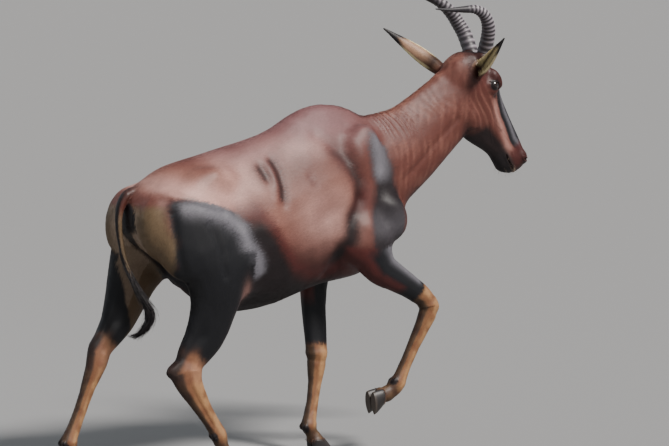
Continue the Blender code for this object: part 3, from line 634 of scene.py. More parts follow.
# the crest's slate is the patch's own bluish bloom with painted sheen over it
CREST = (  # the slate line along the top and front of the thigh's patch: ahead, up
    (-0.630, 0.925), (-0.560, 0.914), (-0.490, 0.892), (-0.425, 0.848),
    (-0.398, 0.788), (-0.352, 0.735), (-0.338, 0.690),
)
# the groove's dark is painted shade in the hollow behind the shoulder blade
GROOVE = (  # the dark hollow behind the shoulder blade: ahead, up
    (0.000, 1.100), (0.048, 1.055), (0.082, 0.985), (0.080, 0.920),
    (0.052, 0.860), (0.043, 0.785), (0.006, 0.711), (-0.02, 0.65),
)
# the dark in these hollows is painted shade
HOLLOWS = (  # the two hollows of the flank: route ahead and up, width
    (((-0.306, 1.036), (-0.296, 1.012)), 0.017),
    (((-0.252, 1.058), (-0.242, 1.020), (-0.243, 0.940)), 0.014),
)
# the dark of the belly is partly the coat's own dark and partly painted shade
DARK_FLANK = (  # ahead, and how far up the dark of the belly reaches there
    (-0.370, 0.890), (-0.347, 0.885), (-0.326, 0.868), (-0.288, 0.828), (-0.261, 0.785),
    (-0.222, 0.735), (-0.184, 0.690), (-0.092, 0.650), (0.000, 0.660),
)
BLAZE = (  # along the face, how far out of the face its edge lies
    (-0.02, 0.100), (0.04, 0.104), (0.08, 0.088), (0.12, 0.064), (0.19, 0.047),
    (0.25, 0.044), (0.31, 0.036), (0.36, 0.046), (0.43, 0.050),
)
JOWL = (  # along the face, how far out the dark of the jaw reaches
    (0.170, -0.050), (0.190, -0.021), (0.264, -0.002), (0.307, 0.012), (0.354, 0.022), (0.400, 0.016),
)
DEWCLAWS = (  # ahead, left, up of the middle between each pair
    (-0.030, 0.051, 0.092), (0.262, -0.086, 0.254), (-0.980, 0.100, 0.097), (-0.502, -0.110, 0.114),
)


def wave(points, size, turn):
    """A gentle uneven ripple between -1 and 1, `size` metres from crest to crest."""
    x, y, z = (points * (2 * math.pi / size)).T
    first = np.sin(x + 1.7 * np.sin(y * 0.6 + turn))
    second = np.sin(y * 1.1 + 1.3 * np.sin(z * 0.7 + turn))
    return (first + second + np.sin(z * 0.9 + turn)) / 3


def point_colours(points, facing):
    """Linear RGB of the coat at each place, given the way the hide faces there: its own markings with
    painted shade and painted highlights laid over them.
    """
    ahead, left, up = on_body(points)
    along, face_left, out = on_face(points)
    wide = abs(face_left)
    names, level, offset, outward, _ = gather_legs(points)
    right_leg = np.isin(names, ("fore_right", "hind_right"))
    hind = np.char.startswith(names, "hind")
    ragged = 0.006 * wave(points, 0.075, 0.4) + 0.003 * wave(points, 0.022, 2.0)
    facing_out = facing[:, 0] * np.where(left > 0, 1, -1)
    coat = np.tile(np.array(MAHOGANY[:3]), (len(points), 1))

    def lay(tint, cover):
        coat[:] += (np.array(tint[:3]) - coat) * np.clip(cover, 0, 1)[:, None]

    # trunk: paler along the loin and flank and lavender on the hump, painted highlight of the coat's sheen;
    # painted shade underneath
    # painted highlight: paler over the loin, the flank and the shoulder
    lay(CHESTNUT, 0.75 * hump(ahead, -0.52, 0.16) * hump(up, 0.985, 0.085) * ease(-ahead, -0.2, 0.2))
    lay(CHESTNUT, 0.65 * hump(ahead, -0.30, 0.16) * hump(up, 0.90, 0.10))
    lay(CHESTNUT, 0.45 * hump(ahead, 0.02, 0.09) * hump(up, 0.94, 0.14))
    # painted highlight: pale rose on the hip above the thigh's crest, on the flank and along the back
    above_crest = ((-0.680, 0.985), (-0.600, 0.965), (-0.500, 0.945), (-0.420, 0.900), (-0.370, 0.840))
    lay(SHEEN_ROSE, 0.70 * crease(ahead, up, above_crest, 0.050))
    lay(
        SHEEN_ROSE,
        0.62 * hump(ahead, -0.06, 0.12) * hump(up, 0.86, 0.10)
        + 0.45 * hump(ahead, -0.38, 0.10) * hump(up, 0.99, 0.05),
    )
    lay(SHEEN_ROSE, 0.45 * crease(ahead, up, ((-0.06, 1.12), (-0.26, 1.09), (-0.44, 1.05)), 0.040))
    # painted sheen: lavender over the hump and the top of the back
    lay(SHEEN_LAVENDER, 0.75 * hump(ahead, -0.02, 0.22) * ease(up, 1.05, 1.20))
    lay(SHEEN_LAVENDER, 0.50 * hump(ahead, -0.35, 0.20) * ease(up, 1.02, 1.10))
    # painted shade: dark where the hide faces down and darker towards the bottom of the trunk
    lay(LIVER, 0.85 * ease(-facing[:, 2], 0.10, 0.75) * (up < 0.95) * (ahead < 0.45))
    lay(LIVER, 0.60 * ease(0.80 - up, 0, 0.14) * (ahead < 0.40) * (up > 0.5))
    on_side = ease(abs(left), 0.05, 0.09)
    # painted shade along the rear edge of the shoulder blade
    lay(
        OXBLOOD,
        0.80 * on_side * crease(
            ahead, up, ((0.010, 1.100), (0.070, 1.030), (0.100, 0.960), (0.095, 0.900)), 0.040
        ),
    )
    # painted shade in the hollow behind the shoulder blade, black low down between the ribs and the arm
    lay(LIVER, 0.95 * on_side * crease(ahead, up, GROOVE, 0.025) * ease(1.11 - up, 0, 0.04))
    lay(SOOT, 0.80 * on_side * crease(ahead, up, GROOVE[4:], 0.030))
    # the belly's dark: partly the coat's own dark, partly painted shade reaching up the flank
    low_flank = np.interp(ahead, *np.array(DARK_FLANK).T)
    on_belly = ease(0.45 - abs(ahead + 0.05), 0, 0.08) * (up > 0.5)
    lay(OXBLOOD, 0.85 * ease(low_flank + 0.035 - up, -0.030, 0.030) * on_belly)
    lay(LIVER, 0.92 * ease(low_flank - up, -0.020, 0.040) * on_belly)
    lay(SOOT, 0.90 * ease(low_flank - up, 0.005, 0.055) * ease(0.90 - up, 0, 0.06) * on_belly)
    lay(OXBLOOD, 0.45 * wave(points, 0.16, 1.1) * (ahead < 0.3) * ease(up, 0.7, 0.9))
    # painted shade in the two hollows of the flank
    for route, size in HOLLOWS:
        seen = (abs(left) > 0.06) * np.where(left > 0, 0.6, 1.0)
        lay(OXBLOOD, 0.75 * crease(ahead, up, route, 2.0 * size) * seen)
        lay(LIVER, 0.97 * crease(ahead, up, route, size) * seen)
    # painted shade in a small dip of the flank and in the hollow beside the root of the tail
    lay(OXBLOOD, 0.5 * crease(ahead, up, ((-0.125, 1.005), (-0.112, 0.985)), 0.014) * (abs(left) > 0.06))
    lay(LIVER, 0.5 * swelling((ahead, abs(left), up), (-0.700, 0.055, 1.01), (0.035, 0.040, 0.030)))

    # neck: streaked paler and darker down its sides, and paler where it faces up, a painted highlight
    on_neck = ease(ahead, 0.20, 0.32) * (1 - ease(ahead, 0.60, 0.66)) * ease(up, 0.90, 1.0)
    lay(CHESTNUT, 0.35 * on_neck * ease(wave(points * (1, 1, 0.25), 0.030, 0.3), -0.3, 0.9))
    # painted highlight where the neck faces up
    lay(CHESTNUT, 0.55 * on_neck * ease(facing[:, 2], 0.55, 0.95))

    # rump: khaki buttocks parted from the red croup by a band of painted shade, cream by the tail, painted
    # shade under it
    thigh = ahead - left_thigh_back(left, up)
    behind = ease(-0.672 - thigh + ragged, -0.008, 0.010) * (up > 0.58)
    lay(KHAKI, behind * ease(0.945 - up + 0.5 * ragged, 0, 0.03))
    lay(CREAM, 0.80 * behind * ease(0.93 - up, 0, 0.03) * ease(0.095 - abs(left), 0, 0.04))
    inner_thigh = (
        ease(0.1 - facing_out, 0.0, 0.4) * hind * ease(0.82 - up, 0, 0.05) * (up > 0.42) * (ahead < -0.40)
    )
    lay(KHAKI, 0.85 * inner_thigh)
    lay(CREAM, 0.35 * inner_thigh * ease(up, 0.50, 0.60) * (offset < 0))
    # painted shade under the tail
    lay(SOOT, 0.92 * (swelling((ahead, abs(left), up), (-0.752, 0.0, 0.845), (0.06, 0.026, 0.045)) > 0.25))
    # painted shade: a dark band below the ridge of the croup
    lay(MAHOGANY, 0.8 * behind * hump(up, 0.955, 0.02))

    # thigh and shoulder patches, slate where the hair stands to the sky: their own bluish bloom with
    # painted sheen over it
    rear, front = (np.interp(up, *np.array(HAUNCH)[:, [0, k]].T) for k in (1, 2))
    inside = np.minimum(thigh - rear, front - thigh) + ragged
    outer = ease(facing_out, -0.35, 0.0)
    on_thigh = (up > 0.60) * ease(0.965 - up, 0, 0.03) * outer * (ahead < -0.25)
    lay(
        OXBLOOD,
        0.80 * ease(inside, -0.035, 0.004) * on_thigh * ease(up, 0.80, 0.88) * ease(-thigh, 0.52, 0.60),
    )
    lay(BLUE_BLACK, ease(inside, -0.012, 0.022) * on_thigh)
    # painted sheen over the patch's own bluish bloom along its crest
    lay(SLATE, 0.85 * crease(thigh, up, CREST, 0.030) * on_thigh * ease(inside, -0.030, 0.012))
    rear, front = (np.interp(up, *np.array(SHOULDER)[:, [0, k]].T) for k in (1, 2))
    lean = np.where(left > 0, -0.035, 0.0)
    inside = np.minimum(ahead - lean - rear, front - ahead + lean) + ragged
    patch = (
        ease(inside, -0.012, 0.030) * ease(up, 0.70, 0.74) * ease(1.185 - up, 0, 0.04)
        * ease(facing_out, -0.1, 0.25)
    )
    lay(BLUE_BLACK, 0.94 * patch)
    # painted sheen: slate on the top of the shoulder patch and over the bulge of the arm
    lay(
        SLATE,
        0.80 * patch * (
            ease(up, 0.960, 1.02) * hump(ahead - lean, 0.190, 0.05) + 0.30 * hump(up, 0.83, 0.055)
        ),
    )

    # legs: black to above the hock and knee, then fawn with a dark rear edge, partly their own dark hair
    # and partly painted shade; painted shade under the upper foreleg and a slate painted highlight on its
    # front
    beside = ease(1.45 - abs(offset), 0, 0.25) * ease(0.085 - abs(outward), 0, 0.02)
    low = ease(0.78 - up, 0, 0.03) * ease(0.75 - level, 0, 0.03) * beside * np.where(
        hind, ahead < -0.36, ahead > -0.1
    )
    edge = level + ragged
    dark_to = np.where(hind, 0.455, np.where(right_leg, 0.452, 0.388))
    blend = np.where(hind, 0.030, 0.012)
    fawn = low * ease((dark_to - edge) / blend, -1, 1)
    lay(FAWN, fawn)
    lay(GINGER, fawn * 0.75 * ease(wave(points, 0.05, 3.0), -0.2, 0.8))
    lay(CHESTNUT, fawn * 0.5 * ease(edge, 0.30, 0.40) * hind)
    outer = ease(outward, -0.022, 0.000)
    black_leg = (
        low * ease((edge - dark_to) / blend, -1, 1) * np.where(hind, ease(facing_out, -0.48, -0.28), 1.0)
    )
    black_leg *= np.where(hind, 1.0, ease(0.74 - level, 0, 0.04))
    lay(
        # painted shade under the upper foreleg towards the elbow
        OXBLOOD,
        np.where(hind, 0, 0.90) * low * ease(edge - 0.50, 0, 0.05) * (1 - ease(offset + 0.2, 0, 0.5)),
    )
    lay(
        BLUE_BLACK,
        black_leg * np.where(hind, 1.0, np.maximum(ease(offset, -0.55, -0.15), 1 - ease(edge, 0.52, 0.58))),
    )
    band = np.interp(
        edge, (0.440, 0.504, 0.579, 0.650, 0.700, 0.740), (1.4, 0.70, -0.18, -0.62, -0.95, -1.20)
    )
    lay(BLUE_BLACK, low * hind * ease(edge - dark_to, -0.012, 0.012) * ease(band - offset, -0.08, 0.08))
    # painted highlight: slate along the front of the upper foreleg
    lay(SLATE, 0.70 * low * (1 - hind) * ease(edge, 0.46, 0.50) * hump(offset, 0.75, 0.32) * outer)
    # the dark rear edge of the shin, its own dark hair deepened by painted shade
    lay(SOOT, fawn * 0.85 * ease(-offset + 5 * ragged, 0.22, 0.62) * ease(level, 0.06, 0.10))
    lay(GINGER, fawn * 0.7 * ease(-offset + 5 * ragged, -0.25, 0.15) * (1 - ease(-offset, 0.3, 0.6)))
    lay(SOOT, fawn * 0.75 * ease(0.105 - edge, 0, 0.03))
    # the dark rear of the hind leg below the hock, deepened by painted shade
    lay(SOOT, low * hind * 0.85 * hump(level, 0.43, 0.035) * ease(-offset, 0.25, 0.65))
    for spur_ahead, spur_left, spur_up in DEWCLAWS:
        miss = np.sqrt(
            (ahead - spur_ahead) ** 2 + ((abs(left - spur_left) - 0.0135)) ** 2 + (up - spur_up) ** 2
        )
        lay(SOOT, 0.95 * (1 - ease(miss, 0.011, 0.016)))
    lay(PALE_PINK, 0.55 * swelling((thigh, abs(left), up), (-0.392, 0.13, 0.615), (0.020, 0.06, 0.045)))

    # head: black blaze with a painted sheen on its side, a pale cheek strip that is a painted highlight,
    # dark jaw, muzzle and brow, and painted shade over the poll
    head = ease(ahead, 0.58, 0.63) * (along > -0.12)
    # painted shade over the back of the head and the poll
    lay(OXBLOOD, 0.60 * head * ease(0.12 - along, 0, 0.12))
    lay(LIVER, 0.85 * head * ease(-along, -0.045, 0.010))
    lay(
        CHESTNUT,
        0.5 * head
        * ease(np.sin(wave(points, 0.10, 0.2) * 2 + face_left * 20 + along * 12 + out * 260), 0, 1)
        * swelling((along, out), (0.13, -0.01), (0.09, 0.06)),
    )
    lay(LIVER, 0.90 * head * ease(-out, 0.072, 0.105) * ease(along, 0.03, 0.09))
    lay(SOOT, 0.70 * head * ease(-out, 0.095, 0.125) * ease(along, 0.03, 0.09))
    rim = np.interp(along, *np.array(BLAZE).T)
    blaze = (
        head * ease(out - rim + 0.4 * ragged, -0.003, 0.004) * ease(0.049 - wide, 0, 0.004) * (out > 0.02)
    )
    jowl = np.interp(along, *np.array(JOWL).T)
    lay(SOOT, 0.93 * head * ease(jowl - out, -0.014, 0.016) * ease(along, 0.178, 0.210))
    lay(
        # painted highlight: a pale pink strip along the cheek beside the blaze
        PALE_PINK,
        0.65 * head * hump(out, rim - 0.018, 0.014) * ease(along, 0.10, 0.15)
        * (1 - ease(along, 0.35, 0.39)),
    )
    lay(OXBLOOD, 0.95 * head * swelling((along, wide, out), (0.055, 0.052, 0.085), (0.060, 0.045, 0.045)))
    lay(LIVER, 0.75 * head * swelling((along, wide, out), (0.060, 0.052, 0.085), (0.040, 0.040, 0.032)))
    lay(BLUE_BLACK, blaze * ease(along, -0.01, 0.02))
    # painted sheen: slate along the side of the blaze
    lay(
        SLATE,
        0.60 * blaze * ease(along, 0.10, 0.15) * (1 - ease(along, 0.34, 0.39))
        * hump(out, rim + 0.026, 0.009),
    )
    lay(OXBLOOD, 0.9 * head * ease(along, 0.318, 0.350) * ease(out, 0.006, 0.018))
    lay(LIVER, head * (0.45 * ease(along, 0.330, 0.380) + 0.35 * ease(along, 0.385, 0.410)))
    lay(SOOT, 0.9 * head * ease(along, 0.300, 0.350) * (1 - ease(out, -0.012, 0.004)))
    lay(BLUE_BLACK, head * ease(along, 0.400, 0.412) * (wide < 0.022 + ragged) * ease(out, 0.016, 0.026))
    lay(SOOT, 0.9 * head * swelling((along, wide, out), (0.118, 0.056, 0.052), (0.010, 0.02, 0.006)))
    # painted highlight: a pale glint along the meeting of the lips
    lay(CREAM, 0.8 * head * hump(out, lips_meet(along) + 0.006, 0.004) * ease(along, 0.395, 0.412))
    eye_miss = np.linalg.norm(np.column_stack([along, wide, out]) - np.array(EYE_AT), axis=1)
    lay(SOOT, 0.95 * head * (1 - ease(eye_miss, 0.0225, 0.0265)))

    # ears: tan back with a dark base and long black tip, straw hollow streaked dark, cream edge
    for side_name in EARS:
        _, _, hollow, side = (np.array(v) for v in ear_axes(side_name))
        share, miss = along_ear(points, side_name)
        there = (np.linalg.norm(miss, axis=1) < 0.042) * ease(share, 0.09, 0.22)
        inner = ease(facing @ hollow, -0.05, 0.25)
        across = miss @ side / np.interp(share, [r[0] for r in EAR_ROWS], [r[1] for r in EAR_ROWS])
        lay(EAR_TAN, there * (1 - inner))
        lay(LIVER, 0.9 * there * (1 - inner) * (1 - ease(share, 0.20, 0.40)))
        lay(EAR_STRAW, there * inner)
        lay(SOOT, 0.8 * there * inner * ease(np.sin(across * 9 + 3 * share), 0.2, 0.8))
        lay(EAR_FRINGE, there * ease(abs(across), 0.78, 0.92) * (share < 0.72) * ease(share, 0.16, 0.30))
        lay(SOOT, there * ease(share + 0.10 * abs(across), 0.66, 0.80))

    # tail: reddish dock with a dark line of hair down its back
    dock = ease(-0.772 - ahead, 0, 0.008) * (abs(left + 0.02) < 0.05) * (up > 0.62) * (up < 0.97)
    lay(KHAKI, 0.9 * dock)
    lay(OXBLOOD, 0.85 * dock * ease(up, 0.86, 0.93))
    lay(SOOT, dock * np.maximum(ease(facing[:, 1], 0.50, 0.80), ease(0.72 - up, 0, 0.05)))
    lay(SOOT, 0.85 * swelling((ahead, abs(left), up), (-0.765, 0.0, 0.972), (0.060, 0.026, 0.035)))
    return coat


def painted(mesh, tints):
    """Keeps linear colours on the mesh's points for the materials to read."""
    layer = mesh.color_attributes.new("point_colours", "FLOAT_COLOR", "POINT")
    layer.data.foreach_set(
        "color", np.column_stack([tints, np.ones(len(tints))]).astype(np.float32).ravel()
    )


def node(tree, kind, settings=None, **links):
    """Adds a node; links name its inputs, by name or as in_0, and give a value or another output."""
    made = tree.nodes.new(kind)
    for key, value in (settings or {}).items():
        setattr(made, key, value)
    for key, value in links.items():
        socket = made.inputs[int(key[3:])] if key.startswith("in_") else made.inputs[key.replace("_", " ")]
        if isinstance(value, bpy.types.NodeSocket):
            tree.links.new(value, socket)
        else:
            socket.default_value = value
    return made


def new_material(name):
    made = bpy.data.materials.new(name)
    made.use_nodes = True
    shader = made.node_tree.nodes["Principled BSDF"]
    return made, made.node_tree, shader


def shaded_markings(tree, shader, shade):
    """Base colour: the colours kept on the mesh's points, times a shade around 1."""
    tint = node(tree, "ShaderNodeVertexColor", {"layer_name": "point_colours"}).outputs["Color"]
    toned = node(tree, "ShaderNodeVectorMath", {"operation": "SCALE"}, in_0=tint, in_3=shade)
    tree.links.new(toned.outputs[0], shader.inputs["Base Color"])


def relief(tree, shader, height, strength, depth):
    made = node(tree, "ShaderNodeBump", Height=height, Strength=strength, Distance=depth)
    tree.links.new(made.outputs[0], shader.inputs["Normal"])


# Short glossy hair lying flat on hide: a keratin sheen over pigment, streaked along the body.
def coat_material(name, roughness, streaks):
    """streaks is how much the fine hair shows in colour and in relief."""
    made, tree, shader = new_material(name)
    place = node(tree, "ShaderNodeTexCoord").outputs["Object"]
    # hairs are 0.06 mm wide; drawn at 2 mm so that the lie of the coat can be seen
    fine = node(tree, "ShaderNodeMapping", in_0=place, in_3=(420.0, 90.0, 160.0))
    hairs = node(tree, "ShaderNodeTexNoise", Vector=fine.outputs[0], Scale=1.0, Detail=3.0, Roughness=0.6)
    broad = node(tree, "ShaderNodeTexNoise", Vector=place, Scale=14.0, Detail=4.0, Roughness=0.55)
    shade = node(tree, "ShaderNodeMapRange", Value=hairs.outputs[0], in_3=1 - streaks, in_4=1 + streaks)
    cloud = node(tree, "ShaderNodeMapRange", Value=broad.outputs[0], in_3=0.82, in_4=1.18)
    both = node(
        tree, "ShaderNodeMath", {"operation": "MULTIPLY"}, in_0=shade.outputs[0], in_1=cloud.outputs[0]
    )
    shaded_markings(tree, shader, both.outputs[0])
    relief(tree, shader, hairs.outputs[0], 0.5 * streaks / 0.3, 0.0006)
    shader.inputs["Roughness"].default_value = roughness
    shader.inputs["IOR"].default_value = 1.55  # keratin
    shader.inputs["Specular IOR Level"].default_value = 0.30  # hairs shade one another
    shader.inputs["Sheen Weight"].default_value = 0.05
    shader.inputs["Sheen Roughness"].default_value = 0.35
    shader.inputs["Sheen Tint"].default_value = colour("E6C9D2")
    return made


hide_finish = coat_material("short_glossy_hair_on_hide", 0.50, 0.30)
lock_finish = coat_material("lying_locks_of_glossy_hair", 0.50, 0.15)
skin.data.materials.clear()
skin.data.materials.append(hide_finish)
skin_places, skin_facing = coordinates(skin.data), coordinates(skin.data, "normal")
painted(skin.data, point_colours(skin_places, skin_facing))
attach(skin, "root")
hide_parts(*flesh_nodes, "tail", "ear_left", "ear_right")

# ---- Coat. Short stiff hair that lies back and down the body in narrow locks, longer on
# the nape, breast and back of the thighs and shortest on the face and pasterns. Each lock
# is a closed blade set in the skin, which the outline shows on every side.
TRUNK_LOCK, LEG_LOCK, FACE_LOCK, EAR_LOCK = 0.018, 0.0115, 0.0080, 0.0090  # lengths
LOCK_SLIM = 0.17  # width as a share of length
LOCKS_PER_M2 = {"trunk": 60000, "leg": 96000, "face": 190000, "ear": 190000}
PATCH = 0.003  # width of a lock's place on its texture


def blended(pairs, points):
    """Vectors laid over each other, each with its cover."""
    out = np.zeros((len(points), 3))
    for vector, cover in pairs:
        vector = np.broadcast_to(np.asarray(vector, float), out.shape)
        cover = np.broadcast_to(cover, len(points))[:, None]
        out += (vector - out) * cover
    return out


def unit(vectors):
    return vectors / np.maximum(np.linalg.norm(vectors, axis=1), 1e-9)[:, None]


def lie_of_coat(points, facing):
    """The way the hair runs along the hide at each place."""
    ahead, left, up = on_body(points)
    _, face_left, _ = on_face(points)
    names, level, _, _, runs = gather_legs(points)
    hind = np.char.startswith(names, "hind")
    up_face = head_turn @ np.array((0, 1, 0))
    off_face = head_turn @ np.array((0, 0, 1))
    legs = np.column_stack([np.zeros(len(points)), -runs[:, 0], runs[:, 1]])
    down_dock = np.column_stack([np.zeros(len(points)), 1.5 * ease(up, 0.90, 0.98), -np.ones(len(points))])
    pairs = [
        ((0, 1, -0.32), 1),
        ((0, 0.45, -0.9), 0.9 * ease(ahead, -0.02, 0.10) * ease(1.08 - up, 0, 0.15)),
        ((0, 0.35, -0.95), 0.9 * ease(-ahead, 0.44, 0.56) * ease(0.93 - up, 0, 0.10)),
        ((0, 0.80, -0.60), ease(ahead, 0.12, 0.30) * ease(up, 0.95, 1.08)),
        (
            legs,
            ease(0.76 - level, 0, 0.10) * ease(0.80 - up, 0, 0.08) * np.where(
                hind, ahead < -0.36, ahead > -0.1
            ),
        ),
        (up_face - 0.35 * off_face * ease(abs(face_left), 0.02, 0.05)[:, None], ease(ahead, 0.60, 0.66)),
        (down_dock, ease(-0.755 - ahead, 0, 0.02) * (abs(left + 0.01) < 0.04) * (up > 0.62)),
    ]
    for side_name in EARS:
        start, end, *_ = (np.array(v) for v in ear_axes(side_name))
        share, miss = along_ear(points, side_name)
        on_ear = ease(share, 0.06, 0.18) * (np.linalg.norm(miss, axis=1) < 0.045)
        pairs.append((unit((end - start)[None])[0], on_ear))
    way = unit(blended(pairs, points))
    way += 0.16 * np.cross(facing, way) * wave(points, 0.09, 0.9)[:, None]
    return unit(way - np.sum(way * facing, axis=1)[:, None] * facing)


def mesh_of(name, points, triangles, finish, normals=None):
    """A mesh of triangles straight from arrays."""
    made = bpy.data.meshes.new(name)
    made.vertices.add(len(points))
    made.vertices.foreach_set("co", points.astype(np.float32).ravel())
    made.loops.add(triangles.size)
    made.loops.foreach_set("vertex_index", triangles.astype(np.int32).ravel())
    made.polygons.add(len(triangles))
    made.polygons.foreach_set("loop_start", np.arange(0, triangles.size, 3, dtype=np.int32))
    made.update(calc_edges=True)
    made.shade_smooth()
    if normals is not None:
        made.normals_split_custom_set_from_vertices(normals.tolist())
    return link(name, made, finish)


def bake_map(mesh, spots):
    """OFBake: where each point lies on the unwrapped hide."""
    corner = np.empty(len(mesh.loops), np.int32)
    mesh.loops.foreach_get("vertex_index", corner)
    chart = mesh.uv_layers.new(name="OFBake")
    chart.uv.foreach_set("vector", spots[corner].astype(np.float32).ravel())


# root, sides, ridge, tip
BLADE = np.array([(0, 1, 3), (0, 3, 2), (1, 4, 3), (3, 4, 2), (0, 2, 1), (1, 2, 4)])
BLADE_SPOTS = np.array([(0, -0.5), (-0.5, 0), (0.5, 0), (0, 0), (0, 0.5)]) * PATCH


def lay_locks(name, roots, facing, way, length, width, thick, lift, tints, chart):
    """One piece of coat: a blade at each root, lying along its way, its tip raised by its lift."""
    across = np.cross(facing, way)
    column = lambda values: np.asarray(values)[:, None]
    under_tip, tip_facing = on_hide(roots + way * column(length))
    under_belly, belly_facing = on_hide(roots + way * column(0.42 * length))
    tip = under_tip + tip_facing * column(lift + 0.00012)
    belly = under_belly + belly_facing * column(0.55 * lift + thick)
    points = np.stack(
        [
            roots - facing * column(0.06 * length),
            belly - across * column(width / 2),
            belly + across * column(width / 2),
            belly + facing * column(0.16 * width),
            tip,
        ],
        axis=1,
    )
    flanks = [unit(belly_facing - 0.3 * across), unit(belly_facing + 0.3 * across)]
    normals = np.stack([facing, *flanks, belly_facing, tip_facing], axis=1)
    # painted shade at each lock's buried root, painted light towards its tip
    shade = np.array((0.88, 0.97, 0.97, 1.01, 1.08))
    count = len(roots)
    faces = (np.arange(count)[:, None, None] * 5 + BLADE).reshape(-1, 3)
    piece = mesh_of(name, points.reshape(-1, 3), faces, lock_finish, normals.reshape(-1, 3))
    painted(piece.data, (tints[:, None, :] * shade[None, :, None]).reshape(-1, 3))
    low, high = chart.min(0), chart.max(0)
    chart = PATCH + (chart - low) / (high - low) * (1 - 2 * PATCH)
    bake_map(piece.data, (chart[:, None, :] + BLADE_SPOTS).reshape(-1, 2))
    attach(piece, "root")
    return piece


# roots are strewn over the skin's own triangles, more to the area where the hair is finer
skin.data.calc_loop_triangles()
corners = np.empty(len(skin.data.loop_triangles) * 3, np.int32)
skin.data.loop_triangles.foreach_get("vertices", corners)
corners = corners.reshape(-1, 3)
a, b, c = (skin_places[corners[:, k]] for k in range(3))
middles = (a + b + c) / 3
areas = np.linalg.norm(np.cross(b - a, c - a), axis=1) / 2
hide = BVHTree.FromPolygons(skin_places.tolist(), corners.tolist())


def on_hide(points):
    """The nearest places on the hide, and the way it faces there."""
    found = [hide.find_nearest(p) for p in points.tolist()]
    return np.array([f[0] for f in found]), np.array([f[1] for f in found])


def ear_share(points):
    """How far out along an ear each place is, 0 off the ears."""
    found = np.zeros(len(points))
    for side_name in EARS:
        share, miss = along_ear(points, side_name)
        found = np.where((share > 0.10) & (np.linalg.norm(miss, axis=1) < 0.050), share, found)
    return found


def region_of(points):
    """Which region of the coat each place belongs to."""
    ahead, _, up = on_body(points)
    names, level, *_ = gather_legs(points)
    hind = np.char.startswith(names, "hind")
    along = on_face(points)[0]
    lengths = [ahead > 0.30, ahead > 0.08, ahead > -0.13, ahead > -0.42, ahead > -0.60]
    found = np.select(lengths, ["neck", "shoulder", "chest", "barrel", "haunch"], "rump")
    found = np.where(ahead > 0.62, np.where(along > 0.13, "muzzle", "head"), found).astype("U16")
    leg = (level < 0.62) & (up < 0.68) & np.where(hind, ahead < -0.38, ahead > -0.1)
    found = np.where(leg, np.char.add("leg_", names), found)
    return np.where(ear_share(points) > 0, "ear", found)


region = region_of(middles)
is_leg = np.char.startswith(region, "leg")
kind = np.select(
    [is_leg, np.isin(region, ("head", "muzzle")), region == "ear"], ["leg", "face", "ear"], "trunk"
)
density = np.array([LOCKS_PER_M2[k] for k in kind], float)
density = np.where(region == "neck", density * 1.1, density)
total = np.cumsum(areas * density)
count = int(total[-1])
picks = np.searchsorted(total, (np.arange(count) + chance.random(count)) / count * total[-1])
picks = np.minimum(picks, len(areas) - 1)
u, v = np.sqrt(chance.random(count)), chance.random(count)
weights = np.column_stack([1 - u, u * (1 - v), u * v])
roots = np.einsum("nk,nkd->nd", weights, skin_places[corners[picks]])
facing = unit(np.einsum("nk,nkd->nd", weights, skin_facing[corners[picks]]))
way = lie_of_coat(roots, facing)
way = unit(way + 0.14 * np.cross(facing, way) * chance.normal(size=count)[:, None])
region, kind = region[picks], kind[picks]
ahead, left, up = on_body(roots)
along, face_left, out = on_face(roots)
names, level, offset, outward, _ = gather_legs(roots)

length = np.select(
    [kind == "leg", kind == "face", kind == "ear"], [LEG_LOCK, FACE_LOCK, EAR_LOCK], TRUNK_LOCK
)
thick = length * np.select([kind == "leg", kind == "face"], [0.034, 0.030], 0.034)
width = length * np.select([kind == "leg", kind == "face"], [0.20, 0.24], LOCK_SLIM)
face_fade = ease(along, 0.05, 0.30) * (kind == "face")
length = length * (1 - 0.35 * face_fade) * np.where(kind == "face", 1 + 0.9 * ease(-along, -0.04, 0.03), 1)
length = length * np.where(kind == "leg", 0.62 + 0.38 * ease(level, 0.10, 0.45), 1)
nape = hump(left, 0, 0.014) * ease(ahead, 0.05, 0.20) * (ahead < 0.60) * ease(facing[:, 2], 0.3, 0.7)
spine = (
    hump(left, 0, 0.030) * (ahead < 0.12) * ease(ahead, -0.74, -0.68) * ease(facing[:, 2], 0.5, 0.8)
    * (kind == "trunk")
)
under = ease(-facing[:, 2], 0.45, 0.85) * (kind == "trunk")
on_dock = (ahead < -0.765) & (abs(left + 0.02) < 0.045) & (up > 0.62)
breech = ease(facing[:, 1], 0.35, 0.8) * (ahead < -0.55) * (kind != "ear") * ~on_dock
feather = (kind == "leg") * hump(level, 0.095, 0.022) * ease(-offset, 0.3, 0.8)
throat = ease(-out, 0.08, 0.12) * (kind == "face") * (along < 0.22)
chin = (kind == "face") * hump(along, 0.395, 0.03) * ease(-out, 0.01, 0.03)
raised = np.clip(
    nape * 1.0 + 0.35 * spine + 0.45 * under + 0.40 * breech + feather + 0.5 * throat + 0.5 * chin, 0, 1
)
longer = (
    1 + 0.30 * nape + 0.15 * spine + 0.35 * under + 0.45 * breech + 1.2 * feather + 0.8 * throat
    + 0.5 * chin
)
length = length * longer * (0.80 + 0.40 * chance.random(count))
lift = length * raised * (0.06 + 0.12 * chance.random(count))
width = width * np.sqrt(longer) * (0.80 + 0.40 * chance.random(count))

